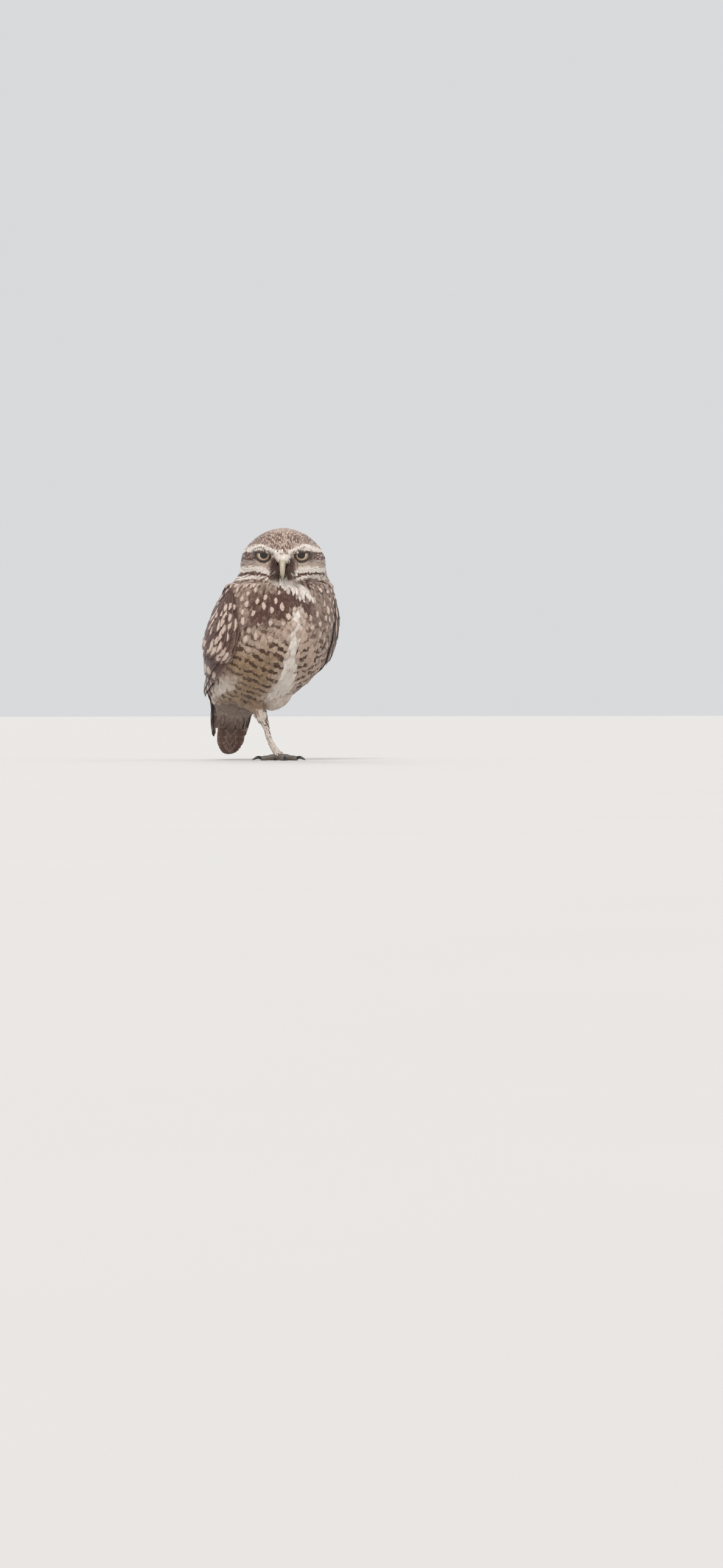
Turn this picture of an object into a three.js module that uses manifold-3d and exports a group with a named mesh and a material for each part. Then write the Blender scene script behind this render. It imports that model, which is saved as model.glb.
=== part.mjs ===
// A burrowing owl, life size, standing on its right leg with the left one drawn up into its belly.
// Millimetres, +Z up. The body faces -Y, its right side is at -X, and the head is turned to its right.
import * as THREE from "three";
import { mergeVertices } from "three/addons/utils/BufferGeometryUtils.js";
import Module from "manifold-3d";

const wasm = await Module();
wasm.setup();
const { lerp, clamp, degToRad } = THREE.MathUtils;

// Neighbouring pieces keep this clear of each other.
const GAP = 0.3;
const SHORTEST_EDGE = 0.05;

// The middle of the body from the neck to the tail's tip: where it lies, and how far the body reaches
// from it to each side, to the breast and to the back. It sways towards the standing leg. The last three
// stations are the tail.
const BODY = [
  { x: 0, y: -24, z: 190, side: 42, breast: 14, back: 28 },
  { x: 0, y: -22, z: 172, side: 49, breast: 26, back: 32 },
  { x: 0, y: -20, z: 150, side: 52, breast: 36, back: 34 },
  { x: -1, y: -12, z: 125, side: 55.5, breast: 44, back: 37 },
  { x: -3, y: 3, z: 98, side: 54.5, breast: 43, back: 39 },
  { x: -5, y: 25, z: 74, side: 41, breast: 30, back: 33 },
  { x: -5, y: 50, z: 58, side: 32, breast: 17, back: 23 },
  { x: -3.5, y: 69, z: 49, side: 20, breast: 12, back: 12 },
  { x: -2, y: 79, z: 34, side: 17, breast: 7, back: 5 },
  { x: -1, y: 84, z: 16, side: 14, breast: 3.5, back: 3 },
  { x: -0.5, y: 85.5, z: 4.5, side: 6, breast: 1.5, back: 1.5 },
];
const RUMP = 7; // the station where the body ends and the tail starts
const NECK_TOP = 160.5;
const NECK_FOOT = 148;

// The folded wing, from the shoulder to the tips: the stations that it reaches between, the angles of its
// front and back edges round the body, how far its outer feathers stand out from the body, more on the
// right than on the left, and how much of that its core fills, which ends before the tips.
const WING = {
  from: 1.6,
  to: 8.8,
  front: [84, 64, 60, 76, 92, 99, 102, 104],
  back: [118, 142, 151, 158, 163, 167, 170, 173],
  lift: [2.5, 6.5, 7.5, 8.5, 9, 7, 5, 3.4],
  slack: { right: 1.12, left: 0.86 },
  core: [0.7, 0.6, 0.45, 0.36, 0.3, 0.24],
  coreEnd: 0.76,
  rim: 0.3, // the core's thickness at its edges, as a part of that at its middle
  inner: 1.1,
};

// The wing's feathers in tiers, each from its first feather at the front edge to its last at the back:
// where the roots and the tips lie along the wing (s) and across it (w), how high they lie between the
// body (0) and the wing's outside (1), and a feather's width.
const TIERS = [
  { count: 6, rootS: [0.44, 0.5], rootW: [0.08, 0.5], tipS: [1, 0.85], tipW: [0.3, 0.72],
    rootUp: [0.12, 0.3], tipUp: [0.3, 0.75], width: 9, rows: 5 },
  { count: 6, rootS: [0.36, 0.42], rootW: [0.12, 0.88], tipS: [0.66, 0.82], tipW: [0.14, 0.84],
    rootUp: [0.3, 0.4], tipUp: [0.62, 0.95], width: 13, rows: 4 },
  { count: 6, rootS: [0.24, 0.3], rootW: [0.1, 0.9], tipS: [0.46, 0.57], tipW: [0.08, 0.9],
    rootUp: [0.4, 0.4], tipUp: [0.9, 0.98], width: 14, rows: 4 },
  { count: 5, rootS: [0.1, 0.15], rootW: [0.12, 0.88], tipS: [0.3, 0.36], tipW: [0.1, 0.88],
    rootUp: [0.5, 0.5], tipUp: [1, 1.05], width: 16, rows: 4 },
  { count: 5, rootS: [0.04, 0.38], rootW: [0.86, 0.93], tipS: [0.21, 0.6], tipW: [0.98, 1],
    rootUp: [0.6, 0.4], tipUp: [1.05, 1.05], width: 15, rows: 4 },
];
const VANE = { middle: 0.7, edge: 0.5, shingle: 1.7, shape: [0.5, 0.95, 1, 0.78, 0.14] };

// The tail's feathers from the middle pair, on top, to the outermost: how far they fan, how much lower and
// shorter each lies, and the coverts over their roots.
const TAIL = {
  pairs: 6,
  width: 10,
  rootFan: 9,
  tipFan: 10.5,
  drop: 0.34,
  shorter: 0.9,
  coverts: 1.6,
  sink: 3.2,
};

// The head, in its own frame: the face looks along -Y.
const HEAD = {
  centre: [0, -25, 180],
  turn: -28,
  side: 38.6,
  face: 31,
  nape: 33,
  height: 33,
  flow: { face: 4, nape: 32 }, // how far up the neck's form reaches
};
const EYE = { apart: 18, front: -22.5, up: 8.2, radius: 8.4 };

// The upper bill runs down the middle line from the cere to its hooked tip, the lower one under it.
const BILL = {
  upper: {
    path: [
      [0, -27, 1.5],
      [0, -32, 1],
      [0, -36.4, -4],
      [0, -37.4, -10],
      [0, -35.6, -15.6],
    ],
    radii: [4.6, 4.7, 4.1, 2.8, 0.35],
    sides: 12,
  },
  lower: {
    path: [
      [0, -26, -9],
      [0, -30, -10.5],
      [0, -33.2, -13],
    ],
    radii: [3.4, 3, 1],
  },
};
const NOSTRIL = { side: 4.5, front: -32.4, up: 0.6, radius: 1.1 };

// The standing leg: its feathered shank from the belly to the heel, its tarsus down to the middle of the
// foot's ball, which is cut flat at the ground.
const FOOT = [5, -7, 4.1];
const BALL = 4.6;
const SHANK = {
  path: [
    [-16, 16, 61],
    [-13, 8, 47],
    [-11, 2, 37],
  ],
  radii: [13, 9, 4.6],
};
const TARSUS = { path: [[-11, 2, 39], [-6, 0, 23], FOOT], radii: [3.9, 3.1, 2.9, 3.5] };

// The toes from the inner one round to the hind one: each one's turn from straight ahead towards the
// bird's left, its length from the middle of the ball, and its knuckles' radii.
const TOES = [
  { name: "inner", turn: 36, length: 19, radii: [3, 2.5, 2.9, 2.3, 2.5, 1.7] },
  { name: "middle", turn: -14, length: 22, radii: [3, 2.5, 2.9, 2.3, 2.6, 2.2, 2.4, 1.7] },
  { name: "outer", turn: -100, length: 18, radii: [3, 2.4, 2.7, 2.2, 2.4, 1.6] },
  { name: "hind", turn: 175, length: 14, radii: [3, 2.4, 2.6, 1.7] },
];
const CLAW = { length: 9, rise: 1.2, radii: [1.6, 1.4, 0.9, 0.25] };

// The drawn-up foot, closed like a fist in a hollow of the belly feathers, with its toes spread less.
const FIST = {
  ball: [13, 9, 60],
  radius: 3.6,
  leg: { path: [[14, 31, 63], [13, 9, 60]], radii: [3.6, 3], steps: 3 },
  toe: 0.82,
  spread: 0.55,
  hollow: { centre: [13, 3, 53], reach: [11, 14, 13] },
};

const finish = (color, roughness) =>
  new THREE.MeshStandardMaterial({ color, roughness, metalness: 0 });
const materials = {
  crown: finish(0x8f7568, 0.9),
  breast: finish(0xb39c88, 0.95),
  wing: finish(0x7a5f52, 0.85),
  tail: finish(0x85705f, 0.85),
  eye: finish(0xd8c08a, 0.1),
  bill: finish(0xa9a38a, 0.45),
  leg: finish(0xcfc4b4, 0.9),
  toe: finish(0x7d7368, 0.7),
  claw: finish(0x2c2723, 0.35),
};

// A closed surface from points and faces, as a solid whose faces look outwards.
function closed(points, faces) {
  const volume = faces.reduce(
    (sum, [a, b, c]) =>
      sum + points[a].dot(new THREE.Vector3().crossVectors(points[b], points[c])),
    0,
  );
  const turned = volume < 0 ? faces.map(([a, b, c]) => [a, c, b]) : faces;
  return new wasm.Manifold(
    new wasm.Mesh({
      numProp: 3,
      vertProperties: new Float32Array(points.flatMap((p) => p.toArray())),
      triVerts: new Uint32Array(turned.flat()),
    }),
  );
}

// A three.js geometry as a solid.
function solidOf(geometry) {
  geometry.deleteAttribute("normal");
  geometry.deleteAttribute("uv");
  const merged = mergeVertices(geometry, 1e-4);
  const place = merged.getAttribute("position");
  const points = Array.from({ length: place.count }, (_, i) =>
    new THREE.Vector3().fromBufferAttribute(place, i),
  );
  const faces = Array.from({ length: merged.index.count / 3 }, (_, i) =>
    Array.from(merged.index.array.slice(3 * i, 3 * i + 3)),
  );
  return closed(points, faces);
}

// A solid through rings of points, closed by a fan at either end.
function loft(rings) {
  const sides = rings[0].length;
  const points = rings.flat();
  const faces = [];
  for (let i = 0; i + 1 < rings.length; i++)
    for (let j = 0; j < sides; j++) {
      const [a, b] = [i * sides + j, i * sides + ((j + 1) % sides)];
      faces.push([a, b, b + sides], [a, b + sides, a + sides]);
    }
  [0, rings.length - 1].forEach((i) => {
    const middle = new THREE.Vector3();
    rings[i].forEach((p) => middle.addScaledVector(p, 1 / sides));
    points.push(middle);
    for (let j = 0; j < sides; j++) {
      const rim = [i * sides + j, i * sides + ((j + 1) % sides)];
      faces.push([points.length - 1, ...(i ? rim : rim.reverse())]);
    }
  });
  return closed(points, faces);
}

// The value at place t along a row of numbers, on a smooth curve through them.
function smooth(values, t) {
  const last = values.length - 1;
  const i = clamp(Math.floor(t), 0, last - 1);
  const f = t - i;
  const [a, b, c, d] = [-1, 0, 1, 2].map((k) => values[clamp(i + k, 0, last)]);
  const [from, to] = [(c - a) / 2, (d - b) / 2];
  return b + from * f + (3 * (c - b) - 2 * from - to) * f ** 2 + (2 * (b - c) + from + to) * f ** 3;
}

// A point on the body at station t, at an angle round it from the breast (0) by the bird's left (90) to
// the back (180), lifted above the surface by lift.
function onBody(t, angle, lift = 0) {
  const step = 0.02;
  const at = (key, u) => smooth(BODY.map((station) => station[key]), u);
  const along = new THREE.Vector2(
    at("y", t + step) - at("y", t - step),
    at("z", t + step) - at("z", t - step),
  ).normalize();
  const turn = degToRad(angle);
  const forward = Math.cos(turn) > 0;
  const reach = (at(forward ? "breast" : "back", t) + lift) * Math.cos(turn);
  return new THREE.Vector3(
    at("x", t) + (at("side", t) + lift) * Math.sin(turn),
    at("y", t) + along.y * reach,
    at("z", t) - along.x * reach,
  );
}

// The body's own surface from one station to another.
function bodyLoft(from, to, { lift = 0, rings = 16, sides = 32 } = {}) {
  return loft(
    Array.from({ length: rings + 1 }, (_, i) =>
      Array.from({ length: sides }, (_, j) =>
        onBody(lerp(from, to, i / rings), (360 * j) / sides, lift),
      ),
    ),
  );
}

// A round tube along a smooth path, with its radii spread evenly along it. It may be grown all over.
function tube({ path, radii, steps = 8, sides = 8 }, grow = 0) {
  const curve = new THREE.CatmullRomCurve3(path.map((p) => new THREE.Vector3(...p)));
  const { tangents, normals, binormals } = curve.computeFrenetFrames(steps);
  return loft(
    Array.from({ length: steps + 1 }, (_, i) => {
      const radius = smooth(radii, ((radii.length - 1) * i) / steps) + grow;
      const beyond = { 0: -grow, [steps]: grow }[i] ?? 0;
      const middle = curve.getPointAt(i / steps).addScaledVector(tangents[i], beyond);
      return Array.from({ length: sides }, (_, j) => {
        const turn = (2 * Math.PI * j) / sides;
        return middle
          .clone()
          .addScaledVector(normals[i], radius * Math.cos(turn))
          .addScaledVector(binormals[i], radius * Math.sin(turn));
      });
    }),
  );
}

const ball = (centre, radius, around = 14, down = 10) =>
  solidOf(new THREE.SphereGeometry(radius, around, down).translate(...centre));

// What lies between two levels, and what lies above the ground.
const between = (solid, low, high) =>
  solid.trimByPlane([0, 0, 1], low).trimByPlane([0, 0, -1], -high);
const aboveGround = (solid) => solid.trimByPlane([0, 0, 1], 0);

const joined = (solids) => wasm.Manifold.union(solids);
const cut = (solid, ...others) => wasm.Manifold.difference([solid, ...others]);

// The largest closed surface of a solid that a cut may have parted, without the shortest edges.
const largest = (solid) =>
  solid
    .decompose()
    .sort((a, b) => b.volume() - a.volume())[0]
    .simplify(SHORTEST_EDGE);

function nodeMesh(name, solid, material) {
  const { numProp, vertProperties, triVerts } = solid.getMesh();
  const geometry = new THREE.BufferGeometry()
    .setAttribute("position", new THREE.BufferAttribute(vertProperties, numProp))
    .setIndex(new THREE.BufferAttribute(triVerts, 1));
  const mesh = new THREE.Mesh(geometry, material);
  mesh.name = name;
  return mesh;
}

// The head's place on the body.
const headFrame = new THREE.Matrix4()
  .makeTranslation(...HEAD.centre)
  .multiply(new THREE.Matrix4().makeRotationZ(degToRad(HEAD.turn)));
const onHead = (solid) => solid.transform(headFrame.elements);

// The head's own form with its short feathers: an egg, fuller at the nape, with a flat face. The turn is
// taken from the face, towards the bird's left.
const SQUARE = { side: 0.92, face: 0.85 };
const headSide = (tilt) => HEAD.side * Math.cos(tilt) ** (tilt > 0 ? 1.15 : 1);
function onEgg(turn, tilt) {
  const flatter = (value, power) => Math.sign(value) * Math.abs(value) ** power;
  const depth = Math.cos(turn) > 0 ? HEAD.face : HEAD.nape;
  return new THREE.Vector3(
    headSide(tilt) * flatter(Math.sin(turn), SQUARE.side),
    -depth * flatter(Math.cos(turn), SQUARE.face) * Math.cos(tilt) ** 0.9,
    HEAD.height * Math.sin(tilt),
  );
}

// The point of the body at a level, at an angle round it.
function onBodyAt(level, angle) {
  let [above, below] = [0, 3];
  for (let i = 0; i < 16; i++) {
    const t = (above + below) / 2;
    if (onBody(t, angle).z > level) above = t;
    else below = t;
  }
  return onBody(above, angle).setZ(level);
}

// The head down to its parting from the neck: the egg flows into the body, soonest at the nape.
function headForm() {
  const [rings, sides] = [14, 32];
  const bottom = Math.asin((NECK_TOP + GAP - HEAD.centre[2]) / HEAD.height);
  return loft(
    Array.from({ length: rings + 1 }, (_, i) => {
      const tilt = lerp(bottom, degToRad(88), i / rings);
      return Array.from({ length: sides }, (_, j) => {
        const angle = (360 * j) / sides;
        const turn = degToRad(angle - HEAD.turn);
        const egg = onEgg(turn, tilt).applyMatrix4(headFrame);
        const flow = lerp(HEAD.flow.face, HEAD.flow.nape, (1 - Math.cos(turn)) / 2);
        const share = THREE.MathUtils.smoothstep(egg.z, NECK_TOP - 4, NECK_TOP + flow);
        return onBodyAt(Math.min(egg.z, 186), angle).setZ(egg.z).lerp(egg, share);
      });
    }),
  );
}

// A point on the skull in front of (x, up), lifted off it by lift.
function onFace(x, up, lift = 0) {
  const surface = (px, pz) => {
    const tilt = Math.asin(clamp(pz / HEAD.height, -0.98, 0.98));
    const turn = Math.asin(Math.min(0.99, Math.abs(px) / headSide(tilt)) ** (1 / SQUARE.side));
    return -HEAD.face * Math.cos(turn) ** SQUARE.face * Math.cos(tilt) ** 0.9;
  };
  const step = 0.5;
  const y = surface(x, up);
  const outward = new THREE.Vector3(
    (surface(x + step, up) - surface(x - step, up)) / (2 * step),
    -1,
    (surface(x, up + step) - surface(x, up - step)) / (2 * step),
  ).normalize();
  return new THREE.Vector3(x, y, up).addScaledVector(outward, lift).toArray();
}

// The ridges of the face on the bird's left: the brow, the cheek's rim, and the bristles by the bill.
const RIDGES = [
  {
    line: [[-2, 5], [7, 8.5], [18, 15.5], [26, 17], [30.5, 14.5]],
    radii: [2.4, 3.2, 3.7, 2.6, 0.8],
    lift: -0.6,
  },
  {
    line: [[-2, -17], [9, -16], [20, -13], [27, -10.5], [31.5, -8.5]],
    radii: [2.6, 3.2, 3.4, 2.6, 0.6],
    lift: -0.9,
  },
  { line: [[4, -2.5], [7.5, -8.5], [13, -13.5]], radii: [2, 2.8, 1.6], lift: -0.2 },
].map(({ line, lift, radii }) => ({
  path: line.map(([x, up]) => onFace(x, up, lift)),
  radii,
  sides: 6,
}));

// The lids of one eye: a thin shell over the ball, open where the eye looks out.
function lids(side) {
  const [across, up, reach, thick] = [6.7, 5.7, 30, 1.3];
  const opening = new THREE.CylinderGeometry(1, 1, reach, 16)
    .scale(across, 1, up)
    .translate(side * EYE.apart, EYE.front - reach / 2, EYE.up - 1.1);
  return eyeBall(side, thick).subtract(solidOf(opening));
}

function eyeBall(side, grow = 0) {
  return ball([side * EYE.apart, EYE.front, EYE.up], EYE.radius + grow, 16, 10);
}

function billUpper() {
  const nostrils = [-1, 1].map((side) =>
    ball([side * NOSTRIL.side, NOSTRIL.front, NOSTRIL.up], NOSTRIL.radius, 8, 6),
  );
  return largest(cut(tube(BILL.upper), ...nostrils, tube(BILL.lower, GAP)));
}

// A point on the folded wing of one side: s runs from the shoulder to the tips, w from the front edge to
// the back one.
function onWing(side, s, w, lift) {
  const along = (values) => smooth(values, s * (values.length - 1));
  const angle = lerp(along(WING.front), along(WING.back), w);
  return onBody(lerp(WING.from, WING.to, s), side * angle, lift);
}

// A feather's vane, widest past its middle and rounded at its tip, crowned along its shaft: place gives a
// point for a place along and across it, in its own terms, at a height.
function vane({ root, tip, up, width, rows }, place) {
  const grid = (lid) =>
    Array.from({ length: rows }, (_, i) => {
      const a = i / (rows - 1);
      const at = [0, 1].map((k) => lerp(root[k], tip[k], a));
      const [near, far] = [-0.02, 0.02].map((step) => place(at[0], at[1] + step, lerp(...up, a)));
      const perMm = 0.04 / near.distanceTo(far);
      const half = (width / 2) * smooth(VANE.shape, a * (VANE.shape.length - 1)) * perMm;
      return [-1, 0, 1].map((c) => {
        const slant = (VANE.shingle / 2) * (1 - c) * Math.min(1, 3 * a);
        const thick = lid * lerp(VANE.middle, VANE.edge, Math.abs(c)) * lerp(1, 0.75, a);
        return place(at[0], at[1] + c * half, lerp(...up, a), slant + thick);
      });
    });
  const [top, under] = [grid(1), grid(0)];
  return loft(top.map((row, i) => [...row, ...under[i].toReversed()]));
}

// The folded wing: a core over the body, and its feathers in tiers, fused.
function wing(name, side) {
  const [rows, columns] = [10, 7];
  const across = Array.from({ length: columns + 1 }, (_, j) => j / columns);
  const outside = (s) => WING.slack[name] * smooth(WING.lift, s * (WING.lift.length - 1));
  const place = (s, w, up, more = 0) => onWing(side, s, w, lerp(WING.inner, outside(s), up) + more);
  const core = loft(
    Array.from({ length: rows + 1 }, (_, i) => {
      const s = (WING.coreEnd * i) / rows;
      const full = smooth(WING.core, (i / rows) * (WING.core.length - 1));
      const arch = (w) => full * lerp(WING.rim, 1, Math.max(0, Math.sin(Math.PI * w)) ** 0.6);
      return [
        ...across.map((w) => place(s, w, arch(w))),
        ...across.toReversed().map((w) => place(s, w, 0)),
      ];
    }),
  );
  const feathers = TIERS.flatMap((tier) =>
    Array.from({ length: tier.count }, (_, i) => {
      const f = i / (tier.count - 1);
      const of = (ends) => lerp(...ends, f);
      return vane(
        {
          root: [of(tier.rootS), of(tier.rootW)],
          tip: [of(tier.tipS), of(tier.tipW)],
          up: [of(tier.rootUp), of(tier.tipUp)],
          width: tier.width,
          rows: tier.rows,
        },
        place,
      );
    }),
  );
  return joined([core, ...feathers]);
}

// The folded tail: its root in the coverts of the rump, and its feathers in pairs.
function tail() {
  const rings = 5;
  const root = loft(
    Array.from({ length: rings + 1 }, (_, i) =>
      Array.from({ length: 20 }, (_, j) =>
        onBody(RUMP + 0.02 + (TAIL.coverts * i) / rings, 18 * j, -TAIL.sink * (i / rings) ** 2),
      ),
    ),
  );
  const middleOf = (t) => onBody(t, 180, 0).lerp(onBody(t, 0, 0), 0.5);
  const place = (t, x, up, more = 0) => {
    const centre = middleOf(t);
    const back = onBody(t, 180, 1).sub(onBody(t, 180, 0));
    centre.x += x;
    return centre.addScaledVector(back, up + more);
  };
  const feathers = [-1, 1].flatMap((side) =>
    Array.from({ length: TAIL.pairs }, (_, i) => {
      const out = (i + 0.5) / TAIL.pairs;
      return vane(
        {
          root: [RUMP + 0.35, side * out * TAIL.rootFan],
          tip: [BODY.length - 1 - TAIL.shorter * out ** 2, side * out * TAIL.tipFan],
          up: [1.5 - i * TAIL.drop, 1.2 - i * TAIL.drop * 1.4],
          width: TAIL.width,
          rows: 5,
        },
        place,
      );
    }),
  );
  return largest(joined([root, ...feathers]));
}

// A toe of the standing foot, along +X from the middle of the ball, and its claw.
function spreadToe({ length, radii }) {
  const ground = -FOOT[2];
  const low = ground + radii.at(-1) - 0.4;
  const tip = length - 1;
  return {
    toe: {
      path: [
        [0, 0, ground + 4.2],
        [length / 3, 0, ground + 3.1],
        [(2 * length) / 3, 0, ground + 2],
        [length, 0, low],
      ],
      radii,
    },
    claw: {
      path: [
        [tip - 1.5, 0, low + 0.5],
        [tip + CLAW.length * 0.35, 0, low + CLAW.rise + 0.5],
        [tip + CLAW.length * 0.75, 0, low + CLAW.rise * 0.3],
        [tip + CLAW.length, 0, ground + 0.4],
      ],
      radii: CLAW.radii,
    },
  };
}

// A toe of the closed foot: it leaves the ball forwards and curls down and back, with its claw inside.
function curledToe({ length, radii }) {
  const r = length / 3.4;
  return {
    toe: {
      path: [[0, 0, 0], [r, 0, 0.6], [r * 1.35, 0, -r * 0.6], [r * 0.8, 0, -r * 1.25]],
      radii: radii.map((radius) => radius * FIST.toe),
    },
    claw: {
      path: [
        [r * 1.0, 0, -r * 1.15],
        [r * 0.5, 0, -r * 1.45],
        [0, 0, -r * 1.35],
        [-r * 0.35, 0, -r * 1.0],
      ],
      radii: CLAW.radii,
    },
  };
}

// The toes and claws of one foot, each cut clear of room, of its claw and of those before it.
function toes(shapeOf, centre, room, spread) {
  const parts = TOES.flatMap((shape) => {
    const { toe, claw } = shapeOf(shape);
    const place = new THREE.Matrix4()
      .makeTranslation(...centre)
      .multiply(new THREE.Matrix4().makeRotationZ(degToRad(shape.turn * spread - 90)));
    const finer = { steps: 8, sides: 8 };
    const coarser = { steps: 6, sides: 6 };
    return [
      { kind: "claw", form: { ...claw, ...coarser } },
      { kind: "toe", form: { ...toe, ...finer } },
    ].map(({ kind, form }) => ({
      kind,
      name: kind + "_" + shape.name,
      whole: tube(form).transform(place.elements),
      grown: tube(form, GAP).transform(place.elements),
    }));
  });
  return parts.map(({ whole, ...part }, i) => ({
    ...part,
    solid: cut(whole, room, ...parts.slice(0, i).map(({ grown }) => grown)),
  }));
}

const sides = [
  { name: "right", side: -1 },
  { name: "left", side: 1 },
];

// The head with its ridges and lids, open for the eyes and the bill.
const mirrorOf = ({ path, ...rest }) => ({ ...rest, path: path.map(([x, y, z]) => [-x, y, z]) });
const face = joined([
  ...RIDGES.flatMap((ridge) => [tube(ridge), tube(mirrorOf(ridge))]),
  ...sides.map(({ side }) => lids(side)),
]);
const openings = [
  ...sides.map(({ side }) => eyeBall(side, GAP)),
  tube(BILL.upper, GAP),
  tube(BILL.lower, GAP),
];
const head = cut(headForm().add(onHead(face)), ...openings.map(onHead)).trimByPlane(
  [0, 0, 1],
  NECK_TOP + GAP,
);
const bodyForm = (grow) => bodyLoft(1, RUMP, { lift: grow, rings: 18 });
const body = bodyForm(0);

// The legs, each a tube with the foot's ball at its end, and the hollow round the drawn-up foot.
const leg = (form, centre, radius, grow = 0) =>
  joined([tube(form, grow), ball(centre, radius + grow)]);
const standingLeg = (grow) => leg(TARSUS, FOOT, BALL, grow);
const drawnLeg = (grow) => leg(FIST.leg, FIST.ball, FIST.radius, grow);
const hollow = ball([0, 0, 0], 1).transform(
  new THREE.Matrix4()
    .makeTranslation(...FIST.hollow.centre)
    .scale(new THREE.Vector3(...FIST.hollow.reach)).elements,
);
const torso = cut(body.trimByPlane([0, 0, -1], -NECK_FOOT), hollow, drawnLeg(GAP));
const shank = cut(tube(SHANK), bodyForm(GAP), tube(TARSUS, GAP));
const feet = {
  right: toes(spreadToe, FOOT, standingLeg(GAP), 1),
  left: toes(curledToe, FIST.ball, drawnLeg(GAP), FIST.spread),
};

const owl = new THREE.Group();
owl.add(
  nodeMesh("head", largest(head), materials.crown),
  nodeMesh("neck", largest(between(body, NECK_FOOT + GAP, NECK_TOP)), materials.breast),
  nodeMesh("torso", largest(torso), materials.breast),
  nodeMesh("shank_right", largest(shank), materials.leg),
  nodeMesh("tarsus_right", largest(aboveGround(standingLeg(0))), materials.leg),
  nodeMesh("tarsus_left", drawnLeg(0), materials.leg),
  nodeMesh("tail", tail(), materials.tail),
  nodeMesh("bill_upper", onHead(billUpper()), materials.bill),
  nodeMesh("bill_lower", onHead(tube(BILL.lower)), materials.bill),
);
sides.forEach(({ name, side }) => {
  owl.add(
    nodeMesh("wing_" + name, largest(cut(wing(name, side), bodyForm(GAP))), materials.wing),
    nodeMesh("eye_" + name, onHead(eyeBall(side)), materials.eye),
    ...feet[name].map((part) =>
      nodeMesh(part.name + "_" + name, largest(aboveGround(part.solid)), materials[part.kind]),
    ),
  );
});

// The origin lies on the ground, under the middle of the whole.
const middle = new THREE.Box3().setFromObject(owl).getCenter(new THREE.Vector3());
owl.position.set(-middle.x, -middle.y, 0);

export default owl;
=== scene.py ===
"""A life-size model of a burrowing owl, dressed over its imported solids.

The owl stands on its right leg with the left one drawn up, and looks at the camera. Lengths in the
classes are millimetres in the owl's own layout, which the part's source uses too. Meshes are metres in
the row frame.
"""

from __future__ import annotations

import logging
import math
from dataclasses import dataclass
from enum import Enum
from typing import Callable, Sequence

import bpy
import numpy as np
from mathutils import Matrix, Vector
from mathutils.bvhtree import BVHTree
from mathutils.kdtree import KDTree

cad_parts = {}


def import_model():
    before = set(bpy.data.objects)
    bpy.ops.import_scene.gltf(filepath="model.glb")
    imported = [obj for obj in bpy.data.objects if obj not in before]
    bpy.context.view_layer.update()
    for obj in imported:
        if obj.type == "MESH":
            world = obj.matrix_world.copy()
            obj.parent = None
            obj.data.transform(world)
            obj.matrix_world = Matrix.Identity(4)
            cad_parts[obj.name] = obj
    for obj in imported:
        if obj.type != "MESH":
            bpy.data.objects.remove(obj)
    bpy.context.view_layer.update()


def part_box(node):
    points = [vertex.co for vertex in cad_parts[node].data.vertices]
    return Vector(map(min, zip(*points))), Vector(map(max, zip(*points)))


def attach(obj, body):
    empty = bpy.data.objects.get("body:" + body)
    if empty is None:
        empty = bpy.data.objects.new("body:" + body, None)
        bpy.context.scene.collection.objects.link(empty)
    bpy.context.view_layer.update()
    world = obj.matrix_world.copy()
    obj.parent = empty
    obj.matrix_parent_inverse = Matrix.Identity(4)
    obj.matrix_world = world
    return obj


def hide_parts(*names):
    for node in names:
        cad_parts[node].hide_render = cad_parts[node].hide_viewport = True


LOG = logging.getLogger("owl")
MM = 0.001
BAKE_MAP = "OFBake"
LIE_MAP = "Lie"
BAKE_PATCH = 0.003
BODY_NAME = "root"
SLOPE_STEP = 0.02
Array = np.ndarray
Chance = np.random.Generator
Material = bpy.types.Material
Piece = bpy.types.Object
Pair = tuple[float, float]
Point = tuple[float, float, float]
Row = tuple[float, ...]
Curve = tuple[Row, Row]


# Numbers and places


def smooth(values: Sequence[float], at: Array) -> Array:
    """The value at each place along a row of numbers, on a smooth curve through them.

    Args:
        values: The numbers, one for each whole place.
        at: The places to read, from 0 to one less than the count.

    Returns:
        One value for each place.
    """
    row = np.asarray(values, float)
    place = np.asarray(at, float)
    last = len(row) - 1
    i = np.clip(np.floor(place).astype(int), 0, last - 1)
    f = place - i
    a, b, c, d = (row[np.clip(i + k, 0, last)] for k in (-1, 0, 1, 2))
    start, end = (c - a) / 2, (d - b) / 2
    return b + start * f + (3 * (c - b) - 2 * start - end) * f**2 + (2 * (b - c) + start + end) * f**3


def step(low: float | Array, high: float | Array, value: Array) -> Array:
    """A soft step from 0 at low to 1 at high."""
    f = np.clip((value - low) / (high - low), 0, 1)
    return f * f * (3 - 2 * f)


def band(offset: Array, half: float | Array, soft: float) -> Array:
    """1 within half of the middle, falling to 0 over twice soft."""
    return 1 - step(half - soft, half + soft, np.abs(offset))


def mix(low: float | Array, high: float | Array, share: float | Array) -> Array:
    """The value a share of the way from low to high."""
    return low + (high - low) * share


def unit(vectors: Array) -> Array:
    """Vectors of length one in the same directions."""
    return vectors / np.maximum(np.linalg.norm(vectors, axis=-1, keepdims=True), 1e-9)


def flatten(vectors: Array, normals: Array) -> Array:
    """Vectors laid into the planes of the normals, at length one."""
    return unit(vectors - normals * np.sum(vectors * normals, axis=-1, keepdims=True))


# The owl's forms, as the solids have them


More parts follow.
